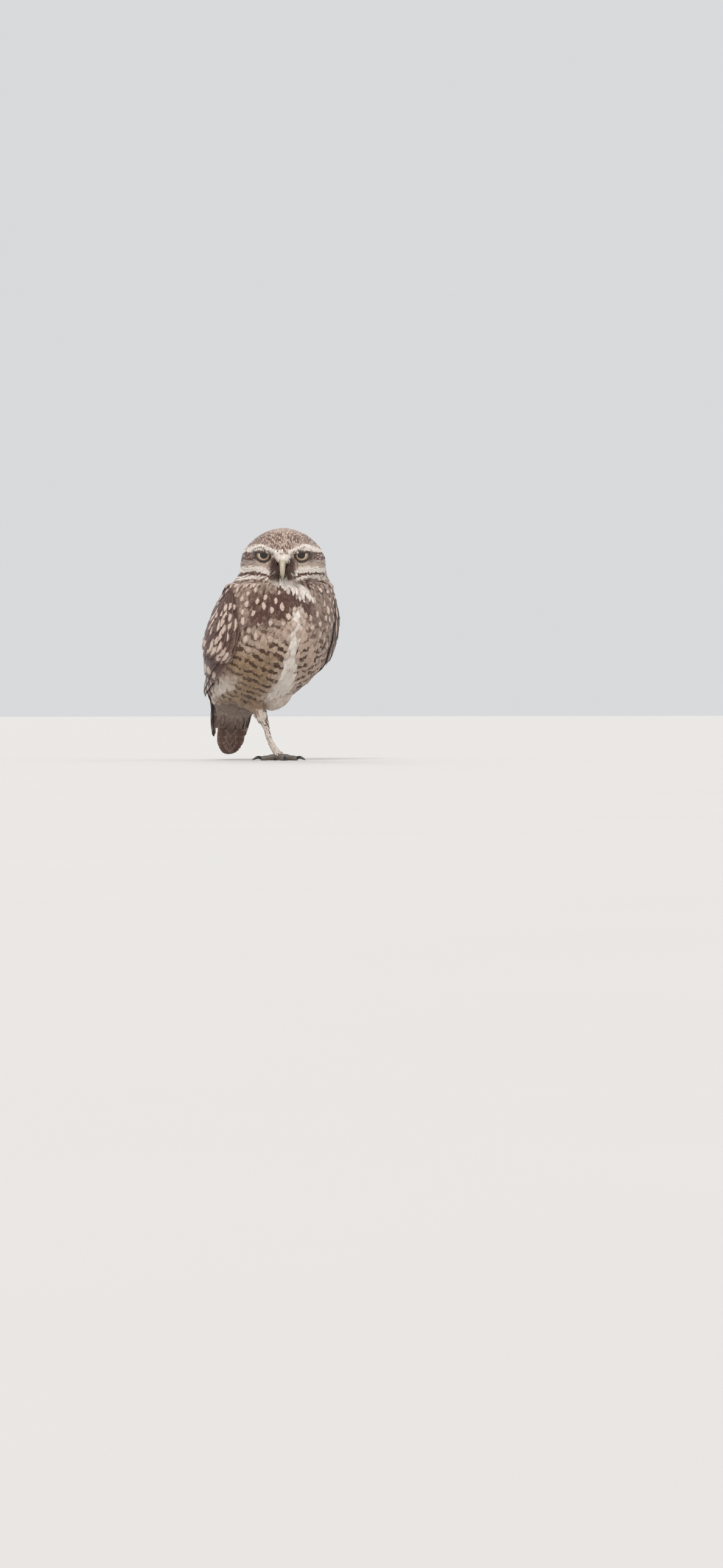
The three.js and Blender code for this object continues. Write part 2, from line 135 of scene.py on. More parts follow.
@dataclass(frozen=True)
class BodyForm:
    """The body from the neck to the tail's tip, by its stations."""

    x: Row = (0, 0, 0, -1, -3, -5, -5, -3.5, -2, -1, -0.5)
    y: Row = (-24, -22, -20, -12, 3, 25, 50, 69, 79, 84, 85.5)
    z: Row = (190, 172, 150, 125, 98, 74, 58, 49, 34, 16, 4.5)
    side: Row = (42, 49, 52, 55.5, 54.5, 41, 32, 20, 17, 14, 6)
    breast: Row = (14, 26, 36, 44, 43, 30, 17, 12, 7, 3.5, 1.5)
    back: Row = (28, 32, 34, 37, 39, 33, 23, 12, 5, 3, 1.5)

    def at(self, station: Array, angle: Array, lift: float | Array = 0.0) -> Array:
        """Points of the body.

        Args:
            station: Places along the body, from 0 at the neck to 10 at the tail's tip.
            angle: Degrees from the breast (0) by the bird's left (90) to the back (180).
            lift: Millimetres above the surface.

        Returns:
            The points, one row each.
        """
        t, turn = np.broadcast_arrays(np.asarray(station, float), np.radians(angle))
        dy = smooth(self.y, t + SLOPE_STEP) - smooth(self.y, t - SLOPE_STEP)
        dz = smooth(self.z, t + SLOPE_STEP) - smooth(self.z, t - SLOPE_STEP)
        size = np.hypot(dy, dz)
        front = np.cos(turn) > 0
        depth = np.where(front, smooth(self.breast, t), smooth(self.back, t)) + lift
        reach = depth * np.cos(turn)
        return np.stack(
            [
                smooth(self.x, t) + (smooth(self.side, t) + lift) * np.sin(turn),
                smooth(self.y, t) + dz / size * reach,
                smooth(self.z, t) - dy / size * reach,
            ],
            axis=-1,
        )


@dataclass(frozen=True)
class HeadForm:
    """The head's frame: the face looks along -Y of it."""

    centre: Point = (0, -25, 180)
    turn: float = -28
    eye_apart: float = 18
    eye_front: float = -22.5
    eye_up: float = 8.2
    eye_radius: float = 8.4
    eye_outward: float = -7.0
    eye_dip: float = 8.5
    lid_wide: float = 6.9
    lid_top: float = 0.9
    lid_bottom: float = 5.2
    lid_droop: float = 0.12
    lid_top_power: float = 3.0
    lid_bottom_power: float = 2.1

    def rotation(self) -> Array:
        """The matrix from the head's frame to the body's."""
        c, s = math.cos(math.radians(self.turn)), math.sin(math.radians(self.turn))
        return np.array([[c, -s, 0], [s, c, 0], [0, 0, 1]])

    def outward(self, points: Array) -> Array:
        """Points of the head's frame, in the body's."""
        return np.asarray(points, float) @ self.rotation().T + self.centre

    def inward(self, points: Array) -> Array:
        """Points of the body's frame, in the head's."""
        return (np.asarray(points, float) - self.centre) @ self.rotation()

    def eye(self, side: float) -> Array:
        """The middle of one eye, in the head's frame."""
        return np.array([side * self.eye_apart, self.eye_front, self.eye_up])

    def gaze(self, side: float) -> Array:
        """One eye's own right, its front and its up, in the head's frame.

        Args:
            side: -1 for the right eye, 1 for the left.

        Returns:
            The matrix of the three directions.
        """
        turn, dip = math.radians(self.eye_outward * side), math.radians(self.eye_dip)
        front = np.array([math.sin(turn) * math.cos(dip), -math.cos(turn) * math.cos(dip), -math.sin(dip)])
        right = unit(np.cross(front, np.array([0.0, 0.0, 1.0])))
        return np.stack([right, front, np.cross(right, front)], 1)

    def into_eye(self, side: float, points: Array) -> Array:
        """Points of the body's frame, in one eye's own."""
        return (self.inward(points) - self.eye(side)) @ self.gaze(side)

    def from_eye(self, side: float, local: Array) -> Array:
        """Points of one eye's own frame, in the body's."""
        return self.outward(self.eye(side) + local @ self.gaze(side).T)

    def opening(self, side: float, across: Array, up: Array) -> Array:
        """How far the lids' edge is from the eye's axis in the directions of the given places.

        Args:
            side: -1 for the right eye, 1 for the left.
            across: Places to the eye's own left, which is the bird's right on both sides.
            up: Places above the axis.

        Returns:
            The distances in millimetres.
        """
        size = np.maximum(np.hypot(across, up), 1e-6)
        c, s = across / size, up / size
        s = s + self.lid_droop * side * c
        tall = np.where(s > 0, self.lid_top, self.lid_bottom)
        power = np.where(s > 0, self.lid_top_power, self.lid_bottom_power)
        sum_of = (np.abs(c) / self.lid_wide) ** power + (np.abs(s) / tall) ** power
        return sum_of ** (-1 / power)

    def past_lids(self, side: float, points: Array) -> Array:
        """How far points of the body's frame are from one eye's axis, as a share of the lids' opening."""
        across, _, up = self.into_eye(side, points).T
        return np.hypot(across, up) / self.opening(side, across, up)


@dataclass(frozen=True)
class WingForm:
    """The folded wing's surface over the body."""

    start: float = 1.6
    end: float = 8.8
    front: Row = (84, 64, 60, 76, 92, 99, 102, 104)
    back: Row = (118, 142, 151, 158, 163, 167, 170, 173)
    lift: Row = (2.5, 6.5, 7.5, 8.5, 9, 7, 5, 3.4)
    slack_right: float = 1.12
    slack_left: float = 0.86
    inner: float = 1.1
    front_height: float = 0.12
    front_rise: Pair = (-0.1, 0.2)
    back_drop: float = 0.7
    back_fall: Pair = (0.74, 1.12)
    arm: tuple[Pair, ...] = ((-0.03, 0.04), (0.7, 0.62), (-0.06, 0.04), (1.05, 0.97))
    plumes: tuple[Pair, ...] = ((0.3, 0.42), (0.72, 0.6), (-0.42, -0.2), (0.1, 0))

    def at(self, side: str, along: Array, across: Array, up: Array, more: Array) -> Array:
        """Points of one wing.

        Args:
            side: "right" or "left".
            along: Places from the shoulder (0) to the tips (1).
            across: Places from the front edge (0) to the back one (1).
            up: Height from the body (0) to the wing's outside (1).
            more: Millimetres added to the height.

        Returns:
            The points, one row each.
        """
        s = np.asarray(along, float) * (len(self.lift) - 1)
        angle = mix(smooth(self.front, s), smooth(self.back, s), across)
        left = side == "left"
        slack = self.slack_left if left else self.slack_right
        lift = mix(self.inner, slack * smooth(self.lift, s), up) + more
        turn = angle if left else -angle
        return BODY.at(mix(self.start, self.end, along), turn, lift)

    def read(self, station: Array, angle: Array) -> tuple[Array, Array]:
        """How far along and across the folded wing the places of the body's chart lie.

        Args:
            station: Stations along the body.
            angle: Angles round it, in degrees.

        Returns:
            The places along and across the wing, which are from 0 to 1 on it.
        """
        along = (station - self.start) / (self.end - self.start)
        s = np.clip(along, 0, 1) * (len(self.lift) - 1)
        front, back = smooth(self.front, s), smooth(self.back, s)
        return along, (np.abs(angle) - front) / (back - front)

    def part(self, edges: tuple[Pair, ...], station: Array, angle: Array) -> Array:
        """How far places of the body's chart belong to a part of the folded wing.

        Args:
            edges: Where the part begins and ends along the wing, and where it does across it.
            station: Stations along the body.
            angle: Angles round it, in degrees.

        Returns:
            The shares, from 0 to 1.
        """
        along, across = self.read(station, angle)
        shares = [step(*edge, place) for edge, place in zip(edges, (along, along, across, across))]
        return shares[0] * shares[1] * shares[2] * shares[3]

    def arch(self, across: Array) -> Array:
        """How the wing's height falls off at its front and back edges."""
        front = np.minimum(1, mix(self.front_height, 1, step(*self.front_rise, across)))
        return front * (1 - self.back_drop * step(*self.back_fall, across))


BODY = BodyForm()
HEAD = HeadForm()
WING = WingForm()
SIDES = {"right": -1.0, "left": 1.0}
SIGHT = (-0.469, -0.883)


class Layout:
    """Where the owl's own layout lies in the row frame."""

    middle: Array = np.zeros(3)

    @classmethod
    def find(cls) -> None:
        """Reads the shift of the layout from the place of an eye."""
        low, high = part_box("eye_right")
        placed = (np.array(low) + np.array(high)) / 2 / MM
        cls.middle = HEAD.outward(HEAD.eye(SIDES["right"])[None])[0] - placed
        LOG.info("layout shifted by %s mm", np.round(cls.middle, 2))

    @classmethod
    def to_row(cls, points: Array) -> Array:
        """Layout millimetres to row metres."""
        return (np.asarray(points, float) - cls.middle) * MM

    @classmethod
    def from_row(cls, points: Array) -> Array:
        """Row metres to layout millimetres."""
        return np.asarray(points, float) / MM + cls.middle


# Finishes


def linear(colour: str) -> tuple[float, float, float, float]:
    """Turns a colour's sRGB hex value into its linear value.

    Args:
        colour: The hex value, with its hash sign.

    Returns:
        Red, green, blue and an opacity of 1.
    """
    parts = [int(colour[i : i + 2], 16) / 255 for i in (1, 3, 5)]
    made = [p / 12.92 if p <= 0.04045 else ((p + 0.055) / 1.055) ** 2.4 for p in parts]
    return (made[0], made[1], made[2], 1.0)


class Graph:
    """The nodes of one material."""

    choices: dict[str, str] = {
        "Math": "operation",
        "VectorMath": "operation",
        "MapRange": "interpolation_type",
        "Mix": "data_type",
    }

    def __init__(self, name: str) -> None:
        """Makes a material with its shader.

        Args:
            name: The material's name.
        """
        self.material = bpy.data.materials.new(name)
        self.material.use_nodes = True
        self.tree = self.material.node_tree
        self.shader = self.tree.nodes["Principled BSDF"]
        self.where = self.add("TexCoord", (), "Object")

    def add(
        self, kind: str, inputs: dict | Sequence, output: int | str = 0, **settings: object
    ) -> bpy.types.NodeSocket:
        """Adds a node with its settings and links.

        Args:
            kind: The node's kind, without its common beginning, with its main choice after a colon.
            inputs: A value or another node's output for each input, by name or number, or in order.
            output: The output to give back.
            **settings: The node's own settings.

        Returns:
            The chosen output.
        """
        kind, _, choice = kind.partition(":")
        made = self.tree.nodes.new("ShaderNode" + kind)
        if choice:
            setattr(made, self.choices[kind], choice)
        for name, value in settings.items():
            setattr(made, name, value)
        for name, value in inputs.items() if isinstance(inputs, dict) else enumerate(inputs):
            self.put(made.inputs[name], value)
        return made.outputs[output]

    def put(self, target: object, value: object) -> None:
        """Links an output to an input, or sets the input's value.

        Args:
            target: The input.
            value: Another node's output, or a value.
        """
        if isinstance(value, bpy.types.NodeSocket):
            self.tree.links.new(value, target)
        else:
            target.default_value = value

    def wave(self, *parts: tuple[object, float]) -> bpy.types.NodeSocket:
        """Adds the sine of a sum.

        Args:
            *parts: Outputs, each with its factor in radians.

        Returns:
            The sine's output, from -1 to 1.
        """
        total = self.add("Math:MULTIPLY", parts[0])
        for part in parts[1:]:
            total = self.add("Math:MULTIPLY_ADD", (*part, total))
        return self.add("Math:SINE", (total,))

    def finish(self, **inputs: object) -> Material:
        """Sets the shader's own inputs and gives the material back.

        Args:
            **inputs: The inputs' values by name, with _ for a space.

        Returns:
            The material.
        """
        for name, value in inputs.items():
            self.put(self.shader.inputs[name.replace("_", " ")], value)
        return self.material


@dataclass(frozen=True)
class PlumageFinish:
    """Feathers of keratin with a soft, dull sheen, whose barbs show as fine slanting lines."""

    name: str
    ground: str = "#b7a08f"
    brown: str = "#553a32"
    white: str = "#dcd2c8"
    warm: str = "#977d62"
    bar: str = "#4f3829"
    spot: str = "#c8b1a4"
    noises: tuple[Pair, ...] = ((420.0, 3.0), (120.0, 2.0), (62.0, 1.0))
    bar_edge: Pair = (-0.08, 0.55)
    oval_at: float = 0.74
    oval_half: float = 0.74
    oval_shift: float = 0.28
    oval_edge: Pair = (1.2, 0.65)
    rim_edge: Pair = (1.8, 1.1)
    rim_share: float = 0.35
    rung_turn: float = 38.0
    rung_lean: float = -1.6
    rung_edge: Pair = (0.3, 0.75)
    fringe_share: float = 0.26
    barbs: float = 60
    barb_relief: float = 0.0001
    roughness: float = 0.78

    def make(self) -> Material:
        """Makes the material, driven by the feathers' own attributes and their map.

        Returns:
            The material.
        """
        g = Graph(self.name)
        tints, marks, places = (
            [g.add("SeparateColor", (colour,), i) for i in range(3)]
            for colour in [
                g.add("Attribute", (), "Color", attribute_name=name) for name in ("tint", "mark", "place")
            ]
        )
        lie = g.add("UVMap", (), uv_map=LIE_MAP)
        across, along = (g.add("SeparateXYZ", (lie,), i) for i in range(2))
        offset = g.add("Math:MULTIPLY_ADD", (across, 2.0, -1.0))
        aside = g.add("Math:ABSOLUTE", (offset,))

        # The three noises make flecks 2.4 mm across, blotches of 8 mm and patches of 16 mm.
        noises = [
            g.add("TexNoise", {"Vector": g.where, "Scale": scale, "Detail": detail})
            for scale, detail in self.noises
        ]
        fine, broad, patchy = (g.add("Math:SUBTRACT", (n, 0.5)) for n in noises)

        # Each tint gets a ragged border, as it runs out along single barbs.
        ragged = [g.add("Math:MULTIPLY_ADD", (fine, 0.5, t)) for t in tints]
        shares = [g.add("MapRange:SMOOTHSTEP", (r, 0.08, 0.92)) for r in ragged]

        # Bars run across the lie of the feathers, broken where one feather ends and the next begins.
        wobble = g.add("Math:MULTIPLY_ADD", (broad, 1.1, places[0]))
        shifted = g.add("Math:MULTIPLY_ADD", (places[1], 0.16, wobble))
        turned = g.add("Math:MULTIPLY", (shifted, math.tau))
        wave = g.add("Math:SINE", (turned,))
        wave = g.add("Math:MULTIPLY_ADD", (fine, 0.9, wave))
        gaps = g.add("Math:ADD", (patchy, wave))
        bars = g.add("MapRange:SMOOTHSTEP", (gaps, *self.bar_edge))

        # A pale oval near the tip of a spotted feather, combed along the barbs, with a darker rim round it.
        shift = g.add("MapRange", {0: places[1], 3: -self.oval_shift, 4: self.oval_shift})
        wide = g.add("Math:SUBTRACT", (offset, shift))
        wide = g.add("Math:DIVIDE", (wide, self.oval_half))
        low = g.add("Math:SUBTRACT", (along, self.oval_at))
        tall = g.add("Math:DIVIDE", (low, places[2]))
        both = g.add("CombineXYZ", (wide, tall, 0.0))
        far = g.add("VectorMath:LENGTH", (both,), "Value")
        comb = g.wave((aside, 34.0), (fine, 16.0))
        far = g.add("Math:MULTIPLY_ADD", (comb, 0.1, far))
        far = g.add("Math:MULTIPLY_ADD", (fine, 1.2, far))
        start, end = self.rim_edge
        rim = g.add("MapRange:SMOOTHSTEP", {0: far, 1: start, 2: end, 4: self.rim_share})
        oval = g.add("MapRange:SMOOTHSTEP", (far, *self.oval_edge))

        # Six crossbars of flight and tail feathers, by their own length, that fade at the shaft.
        rungs = g.wave((along, self.rung_turn), (aside, self.rung_lean), (broad, 3.0))
        rungs = g.add("MapRange:SMOOTHSTEP", (rungs, *self.rung_edge))
        edge = g.add("MapRange:SMOOTHSTEP", (aside, 0.15, 0.6))
        rungs = g.add("Math:MULTIPLY", (rungs, edge))

        # The colours lie over one another, and a paler fringe draws each feather's edge.
        layers = [(shares[2], self.warm), (shares[0], self.brown), (shares[1], self.white)]
        patterns = ((bars, 1, self.bar), (rim, 0, self.bar), (oval, 0, self.spot), (rungs, 2, self.spot))
        for pattern, mark, hue in patterns:
            layers.append((g.add("Math:MULTIPLY", (pattern, marks[mark])), hue))
        fringe = g.add("MapRange:SMOOTHSTEP", {0: aside, 1: 0.6, 2: 1.0, 4: self.fringe_share})
        base = linear(self.ground)
        for share, hue in (*layers, (fringe, self.ground)):
            base = g.add("Mix:RGBA", {"Factor": share, 6: base, 7: linear(hue)}, 2)

        # Barbs slant from the shaft to the tip. They are drawn wider than life, or they wouldn't show.
        barbs = g.wave((along, self.barbs * 2.2), (aside, -self.barbs * 0.6), (fine, 14.0))

        # Each feather has its own tone and is mottled a little, and its root is darker: a painted shade
        # where the feathers above overlap it.
        light = g.add("MapRange", (barbs, -1.0, 1.0, 0.95, 1.03))
        seed = g.add("MapRange", {0: places[1], 3: 0.93, 4: 1.07})
        root_shade = g.add("MapRange", (along, 0.1, 0.7, 0.84, 1.0))
        mottle = g.add("MapRange", (broad, -0.3, 0.3, 0.88, 1.1))
        for other in (seed, root_shade, mottle):
            light = g.add("Math:MULTIPLY", (light, other))
        final = g.add("VectorMath:SCALE", {0: base, "Scale": light})
        bump = g.add("Bump", {"Height": barbs, "Strength": 0.3, "Distance": self.barb_relief})
        return g.finish(
            Base_Color=final,
            Roughness=self.roughness,
            Normal=bump,
            Sheen_Weight=0.3,
            Sheen_Roughness=0.5,
            Specular_IOR_Level=0.2,
        )


@dataclass(frozen=True)
class HornFinish:
    """Worn keratin, as on a bill or a claw: lengthwise growth lines, glossier where it is rubbed."""

    name: str
    base: str
    dark: str
    roughness: float = 0.34
    blotches: float = 500.0
    lines: float = 900.0
    relief: float = 0.0002

    def make(self) -> Material:
        """Makes the material, darker by the piece's own shade, with blotches of 2 mm and lines of 1 mm.

        Returns:
            The material.
        """
        g = Graph(self.name)
        shade = g.add("Attribute", (), "Fac", attribute_name="shade")
        soft = g.add("TexNoise", {"Vector": g.where, "Scale": self.blotches, "Detail": 4.0})
        blotch = g.add("Math:MULTIPLY_ADD", (soft, 0.7, -0.35))
        share = g.add("Math:ADD", (blotch, shade), use_clamp=True)
        colour = g.add("Mix:RGBA", {"Factor": share, 6: linear(self.base), 7: linear(self.dark)}, 2)
        fine = g.add("TexNoise", {"Vector": g.where, "Scale": self.lines, "Detail": 5.0})
        rough = g.add("Math:MULTIPLY_ADD", (fine, 0.3, self.roughness - 0.15))
        bump = g.add("Bump", {"Height": fine, "Strength": 0.25, "Distance": self.relief})
        return g.finish(Base_Color=colour, Roughness=rough, Normal=bump, Specular_IOR_Level=0.5)


@dataclass(frozen=True)
class ScuteFinish:
    """Dry horny skin in small scutes, as on an owl's toes: raised scales with dull dark seams."""

    name: str
    base: str = "#736960"
    seam: str = "#50463e"
    scales: float = 900.0
    tones: float = 300.0
    relief: float = 0.0003
    roughness: float = 0.62

    def make(self) -> Material:
        """Makes the material, with scales about 1 mm across and tones that change over 3 mm.

        Returns:
            The material.
        """
        g = Graph(self.name)
        cell = g.add(
            "TexVoronoi", {"Vector": g.where, "Scale": self.scales}, "Distance", feature="DISTANCE_TO_EDGE"
        )
        seams = g.add("MapRange:SMOOTHSTEP", (cell, 0.02, 0.16))
        noise = g.add("TexNoise", {"Vector": g.where, "Scale": self.tones, "Detail": 3.0})
        tone = g.add("Math:MULTIPLY_ADD", (noise, 0.8, -0.4))
        light = g.add("Math:ADD", (tone, seams), use_clamp=True)
        colour = g.add("Mix:RGBA", {"Factor": light, 6: linear(self.seam), 7: linear(self.base)}, 2)
        bump = g.add("Bump", {"Height": seams, "Strength": 0.6, "Distance": self.relief})
        return g.finish(Base_Color=colour, Roughness=self.roughness, Normal=bump)


@dataclass(frozen=True)
class EyeFinish:
    """A wet eye: a black pupil in a pale yellow iris with fine spokes, under a clear, smooth cornea."""

    name: str = "wet_eye"
    pupil: str = "#060504"
    iris: str = "#ccb398"
    rim: str = "#8b6f55"
    white: str = "#3a2c24"
    pupil_radius: float = 3.6
    iris_radius: float = 6.1
    spokes: float = 2400.0
    pupil_edge: float = 0.12
    iris_edge: float = 0.3
    cornea_ior: float = 1.38

    def make(self) -> Material:
        """Makes the material, by the distance from the eye's own axis, with spokes about 0.4 mm wide.

        Returns:
            The material.
        """
        g = Graph(self.name)
        ring = g.add("Attribute", (), "Fac", attribute_name="ring")
        noise = g.add("TexNoise", {"Vector": g.where, "Scale": self.spokes, "Detail": 2.0})
        spokes = g.add("Math:MULTIPLY_ADD", (noise, 0.5, -0.25))
        wavy = g.add("Math:ADD", (spokes, ring))
        fade = g.add("MapRange", (wavy, self.pupil_radius + 0.6, self.iris_radius - 0.5))
        colour = g.add("Mix:RGBA", {"Factor": fade, 6: linear(self.iris), 7: linear(self.rim)}, 2)
        edges = (
            (self.pupil_radius, -self.pupil_edge, self.pupil),
            (self.iris_radius, self.iris_edge, self.white),
        )
        for radius, soft, hue in edges:
            share = g.add("MapRange", (ring, radius - soft, radius + soft))
            colour = g.add("Mix:RGBA", {"Factor": share, 6: colour, 7: linear(hue)}, 2)
        return g.finish(
            Base_Color=colour,
            Roughness=0.25,
            Coat_Weight=0.5,
            Coat_Roughness=0.03,
            Coat_IOR=self.cornea_ior,
        )


@dataclass(frozen=True)
class BareSkinFinish:
    """Thin, dark, moist skin, as on an owl's lids: fine wrinkles and a faint shine."""

    name: str = "lid_skin"
    colour: str = "#3b2d28"
    wrinkles: float = 1500.0
    relief: float = 0.0002
    roughness: float = 0.45

    def make(self) -> Material:
        """Makes the material, with wrinkles about 0.7 mm apart.

        Returns:
            The material.
        """
        g = Graph(self.name)
        fine = g.add("TexNoise", {"Vector": g.where, "Scale": self.wrinkles, "Detail": 4.0})
        light = g.add("Math:MULTIPLY_ADD", (fine, 0.8, 0.6))
        base = g.add("VectorMath:SCALE", {0: linear(self.colour)[:3], "Scale": light})
        bump = g.add("Bump", {"Height": fine, "Strength": 0.4, "Distance": self.relief})
        return g.finish(Base_Color=base, Roughness=self.roughness, Normal=bump)


@dataclass(frozen=True)
class BackdropFinish:
    """Matt painted board, pale and even."""

    name: str = "pale_board"
    colour: str = "#c6c3bf"
    clouds: float = 8.0
    roughness: float = 0.85

    def make(self) -> Material:
        """Makes the material, with faint clouds of paint about 12 cm wide.

        Returns:
            The material.
        """
        g = Graph(self.name)
        fine = g.add("TexNoise", {"Vector": g.where, "Scale": self.clouds, "Detail": 3.0})
        light = g.add("Math:MULTIPLY_ADD", (fine, 0.03, 0.985))
        base = g.add("VectorMath:SCALE", {0: linear(self.colour)[:3], "Scale": light})
        return g.finish(Base_Color=base, Roughness=self.roughness)


PLUMAGE = PlumageFinish("plumage")


# Making meshes


def link(obj: Piece) -> None:
    """Puts an object into the scene."""
    bpy.context.scene.collection.objects.link(obj)


def choose(obj: Piece) -> None:
    """Selects one object alone and makes it the active one.

    Args:
        obj: The piece.
    """
    bpy.ops.object.select_all(action="DESELECT")
    obj.select_set(True)
    bpy.context.view_layer.objects.active = obj


def modify(obj: Piece, kind: str, **settings: object) -> None:
    """Adds a modifier with its settings and applies it.

    Args:
        obj: The piece.
        kind: The modifier's kind.
        **settings: Its settings.
    """
    choose(obj)
    made = obj.modifiers.new(kind.lower(), kind)
    for name, value in settings.items():
        setattr(made, name, value)
    bpy.ops.object.modifier_apply(modifier=made.name)


def settle(obj: Piece, material: Material, slot: str, *nodes: str) -> None:
    """Gives a finished piece its material and its body.

    Args:
        obj: The piece.
        material: Its material.
        slot: Its slot; not used.
        *nodes: The solids that it stands for.
    """
    obj.data.materials.clear()
    obj.data.materials.append(material)
    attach(obj, BODY_NAME)
    if nodes:
        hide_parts(*nodes)
    LOG.info("%s: %d triangles", obj.name, len(obj.data.loops) - 2 * len(obj.data.polygons))


def read_places(obj: Piece) -> Array:
    """The places of an object's vertices, in the owl's layout."""
    return Layout.from_row(np.array([v.co[:] for v in obj.data.vertices]))


def set_places(obj: Piece, points: Array) -> None:
    """Moves an object's vertices to places of the owl's layout."""
    obj.data.vertices.foreach_set("co", Layout.to_row(points).astype(np.float32).ravel())


def search_tree(points: Array) -> KDTree:
    """Makes a tree in which the nearest of some points are found.

    Args:
        points: The points, one row each.

    Returns:
        The tree, which gives back their numbers.
    """
    tree = KDTree(len(points))
    for i, point in enumerate(points.tolist()):
        tree.insert(point, i)
    tree.balance()
    return tree


def put_attribute(mesh: bpy.types.Mesh, name: str, values: Array) -> None:
    """Stores one number, or one colour of three numbers, for each vertex.

    Args:
        mesh: The mesh.
        name: The attribute's name.
        values: The numbers, one row for each vertex.
    """
    values = np.asarray(values, np.float32)
    if values.ndim == 1:
        mesh.attributes.new(name, "FLOAT", "POINT").data.foreach_set("value", values)
        return
    full = np.ones((len(values), 4), np.float32)
    full[:, :3] = values
    mesh.attributes.new(name, "FLOAT_COLOR", "POINT").data.foreach_set("color", full.ravel())


def sleeve(
    name: str, rings: int, sides: int, shape: Callable[[Array, Array], Array], rounds: int = 0
) -> Piece:
    """A grid wrapped into a closed tube.

    Args:
        name: The piece's name.
        rings: Steps along the tube.
        sides: Steps round it.
        shape: Gives layout points for places along it (0 to 1) and turns round it in radians.
        rounds: How often it is subdivided at the end.

    Returns:
        The piece.
    """
    bpy.ops.mesh.primitive_grid_add(x_subdivisions=rings, y_subdivisions=sides, size=2)
    obj = bpy.context.object
    obj.name = name
    places = np.array([v.co[:] for v in obj.data.vertices])
    set_places(obj, shape((places[:, 0] + 1) / 2, (places[:, 1] + 1) * math.pi))
    choose(obj)
    bpy.ops.object.mode_set(mode="EDIT")
    bpy.ops.mesh.select_all(action="SELECT")
    bpy.ops.mesh.remove_doubles(threshold=2e-5)
    bpy.ops.mesh.normals_make_consistent(inside=False)
    bpy.ops.object.mode_set(mode="OBJECT")
    if rounds:
        modify(obj, "SUBSURF", levels=rounds, render_levels=rounds)
    bpy.ops.object.shade_smooth()
    return obj


@dataclass(frozen=True)
class Tube:
    """A tube's middle line with its radii, for a bill, a leg, a toe or a claw."""

    path: Array
    radii: Row
    tall: Row = (1.0, 1.0)
    bumps: int = 0
    bump: float = 0.0
    guide: Point = (0.02, 0.05, 1.0)
    cap: float = 0.06

    def line(self, place: Array) -> Array:
        """Points of the middle line, by places along its path."""
        return np.stack([smooth(self.path[:, k], place) for k in range(3)], -1)

    def frame(self, along: Array) -> tuple[Array, Array, Array]:
        """The middle line's points with two directions at each.

        Args:
            along: Places along the tube, from 0 to 1.

        Returns:
            The points, the directions aside and the directions up.
        """
        place = np.asarray(along) * (len(self.path) - 1)
        tangent = unit(self.line(place + SLOPE_STEP) - self.line(place - SLOPE_STEP))
        aside = unit(np.cross(tangent, self.guide))
        return self.line(place), aside, np.cross(aside, tangent)

    def surface(self, along: Array, turn: Array) -> Array:
        """Points of the tube's surface, whose ends are rounded off.

        Args:
            along: Places along the tube, from 0 to 1.
            turn: Turns round it, in radians.

        Returns:
            The points, one row each.
        """
        middle, aside, up = self.frame(along)
        radius = smooth(self.radii, along * (len(self.radii) - 1))
        radius = radius * (1 + self.bump * np.cos(math.tau * self.bumps * along))
        ends = np.minimum(1, np.minimum(along, 1 - along) / self.cap)
        radius = radius * np.sqrt(np.clip(1 - (1 - ends) ** 2, 0, 1))
        tall = smooth(self.tall, along * (len(self.tall) - 1))
        return (
            middle
            + aside * (radius * np.cos(turn))[:, None]
            + up * (radius * tall * np.sin(turn))[:, None]
        )

    def piece(
        self, name: str, rings: int, sides: int, move: Callable[[Array], Array] | None = None
    ) -> Piece:
        """The tube as a piece.

        Args:
            name: The piece's name.
            rings: Steps along the tube.
            sides: Steps round it.
            move: Moves its points into the owl's layout, if they aren't there yet.

        Returns:
            The piece.
        """

        def shape(along: Array, turn: Array) -> Array:
            """Points of the surface, in the owl's layout."""
            points = self.surface(along, turn)
            return move(points) if move else points

        return sleeve(name, rings, sides, shape)


# Feathers


class Grain(Enum):
    """How finely a feather is divided: (rows, columns, loose barbs on each side, those on its face)."""

    BRISTLE = (4, 2, 0, 0)
    SMALL = (5, 2, 3, 1)
    BODY = (7, 4, 5, 4)
    QUILL = (22, 6, 0, 0)


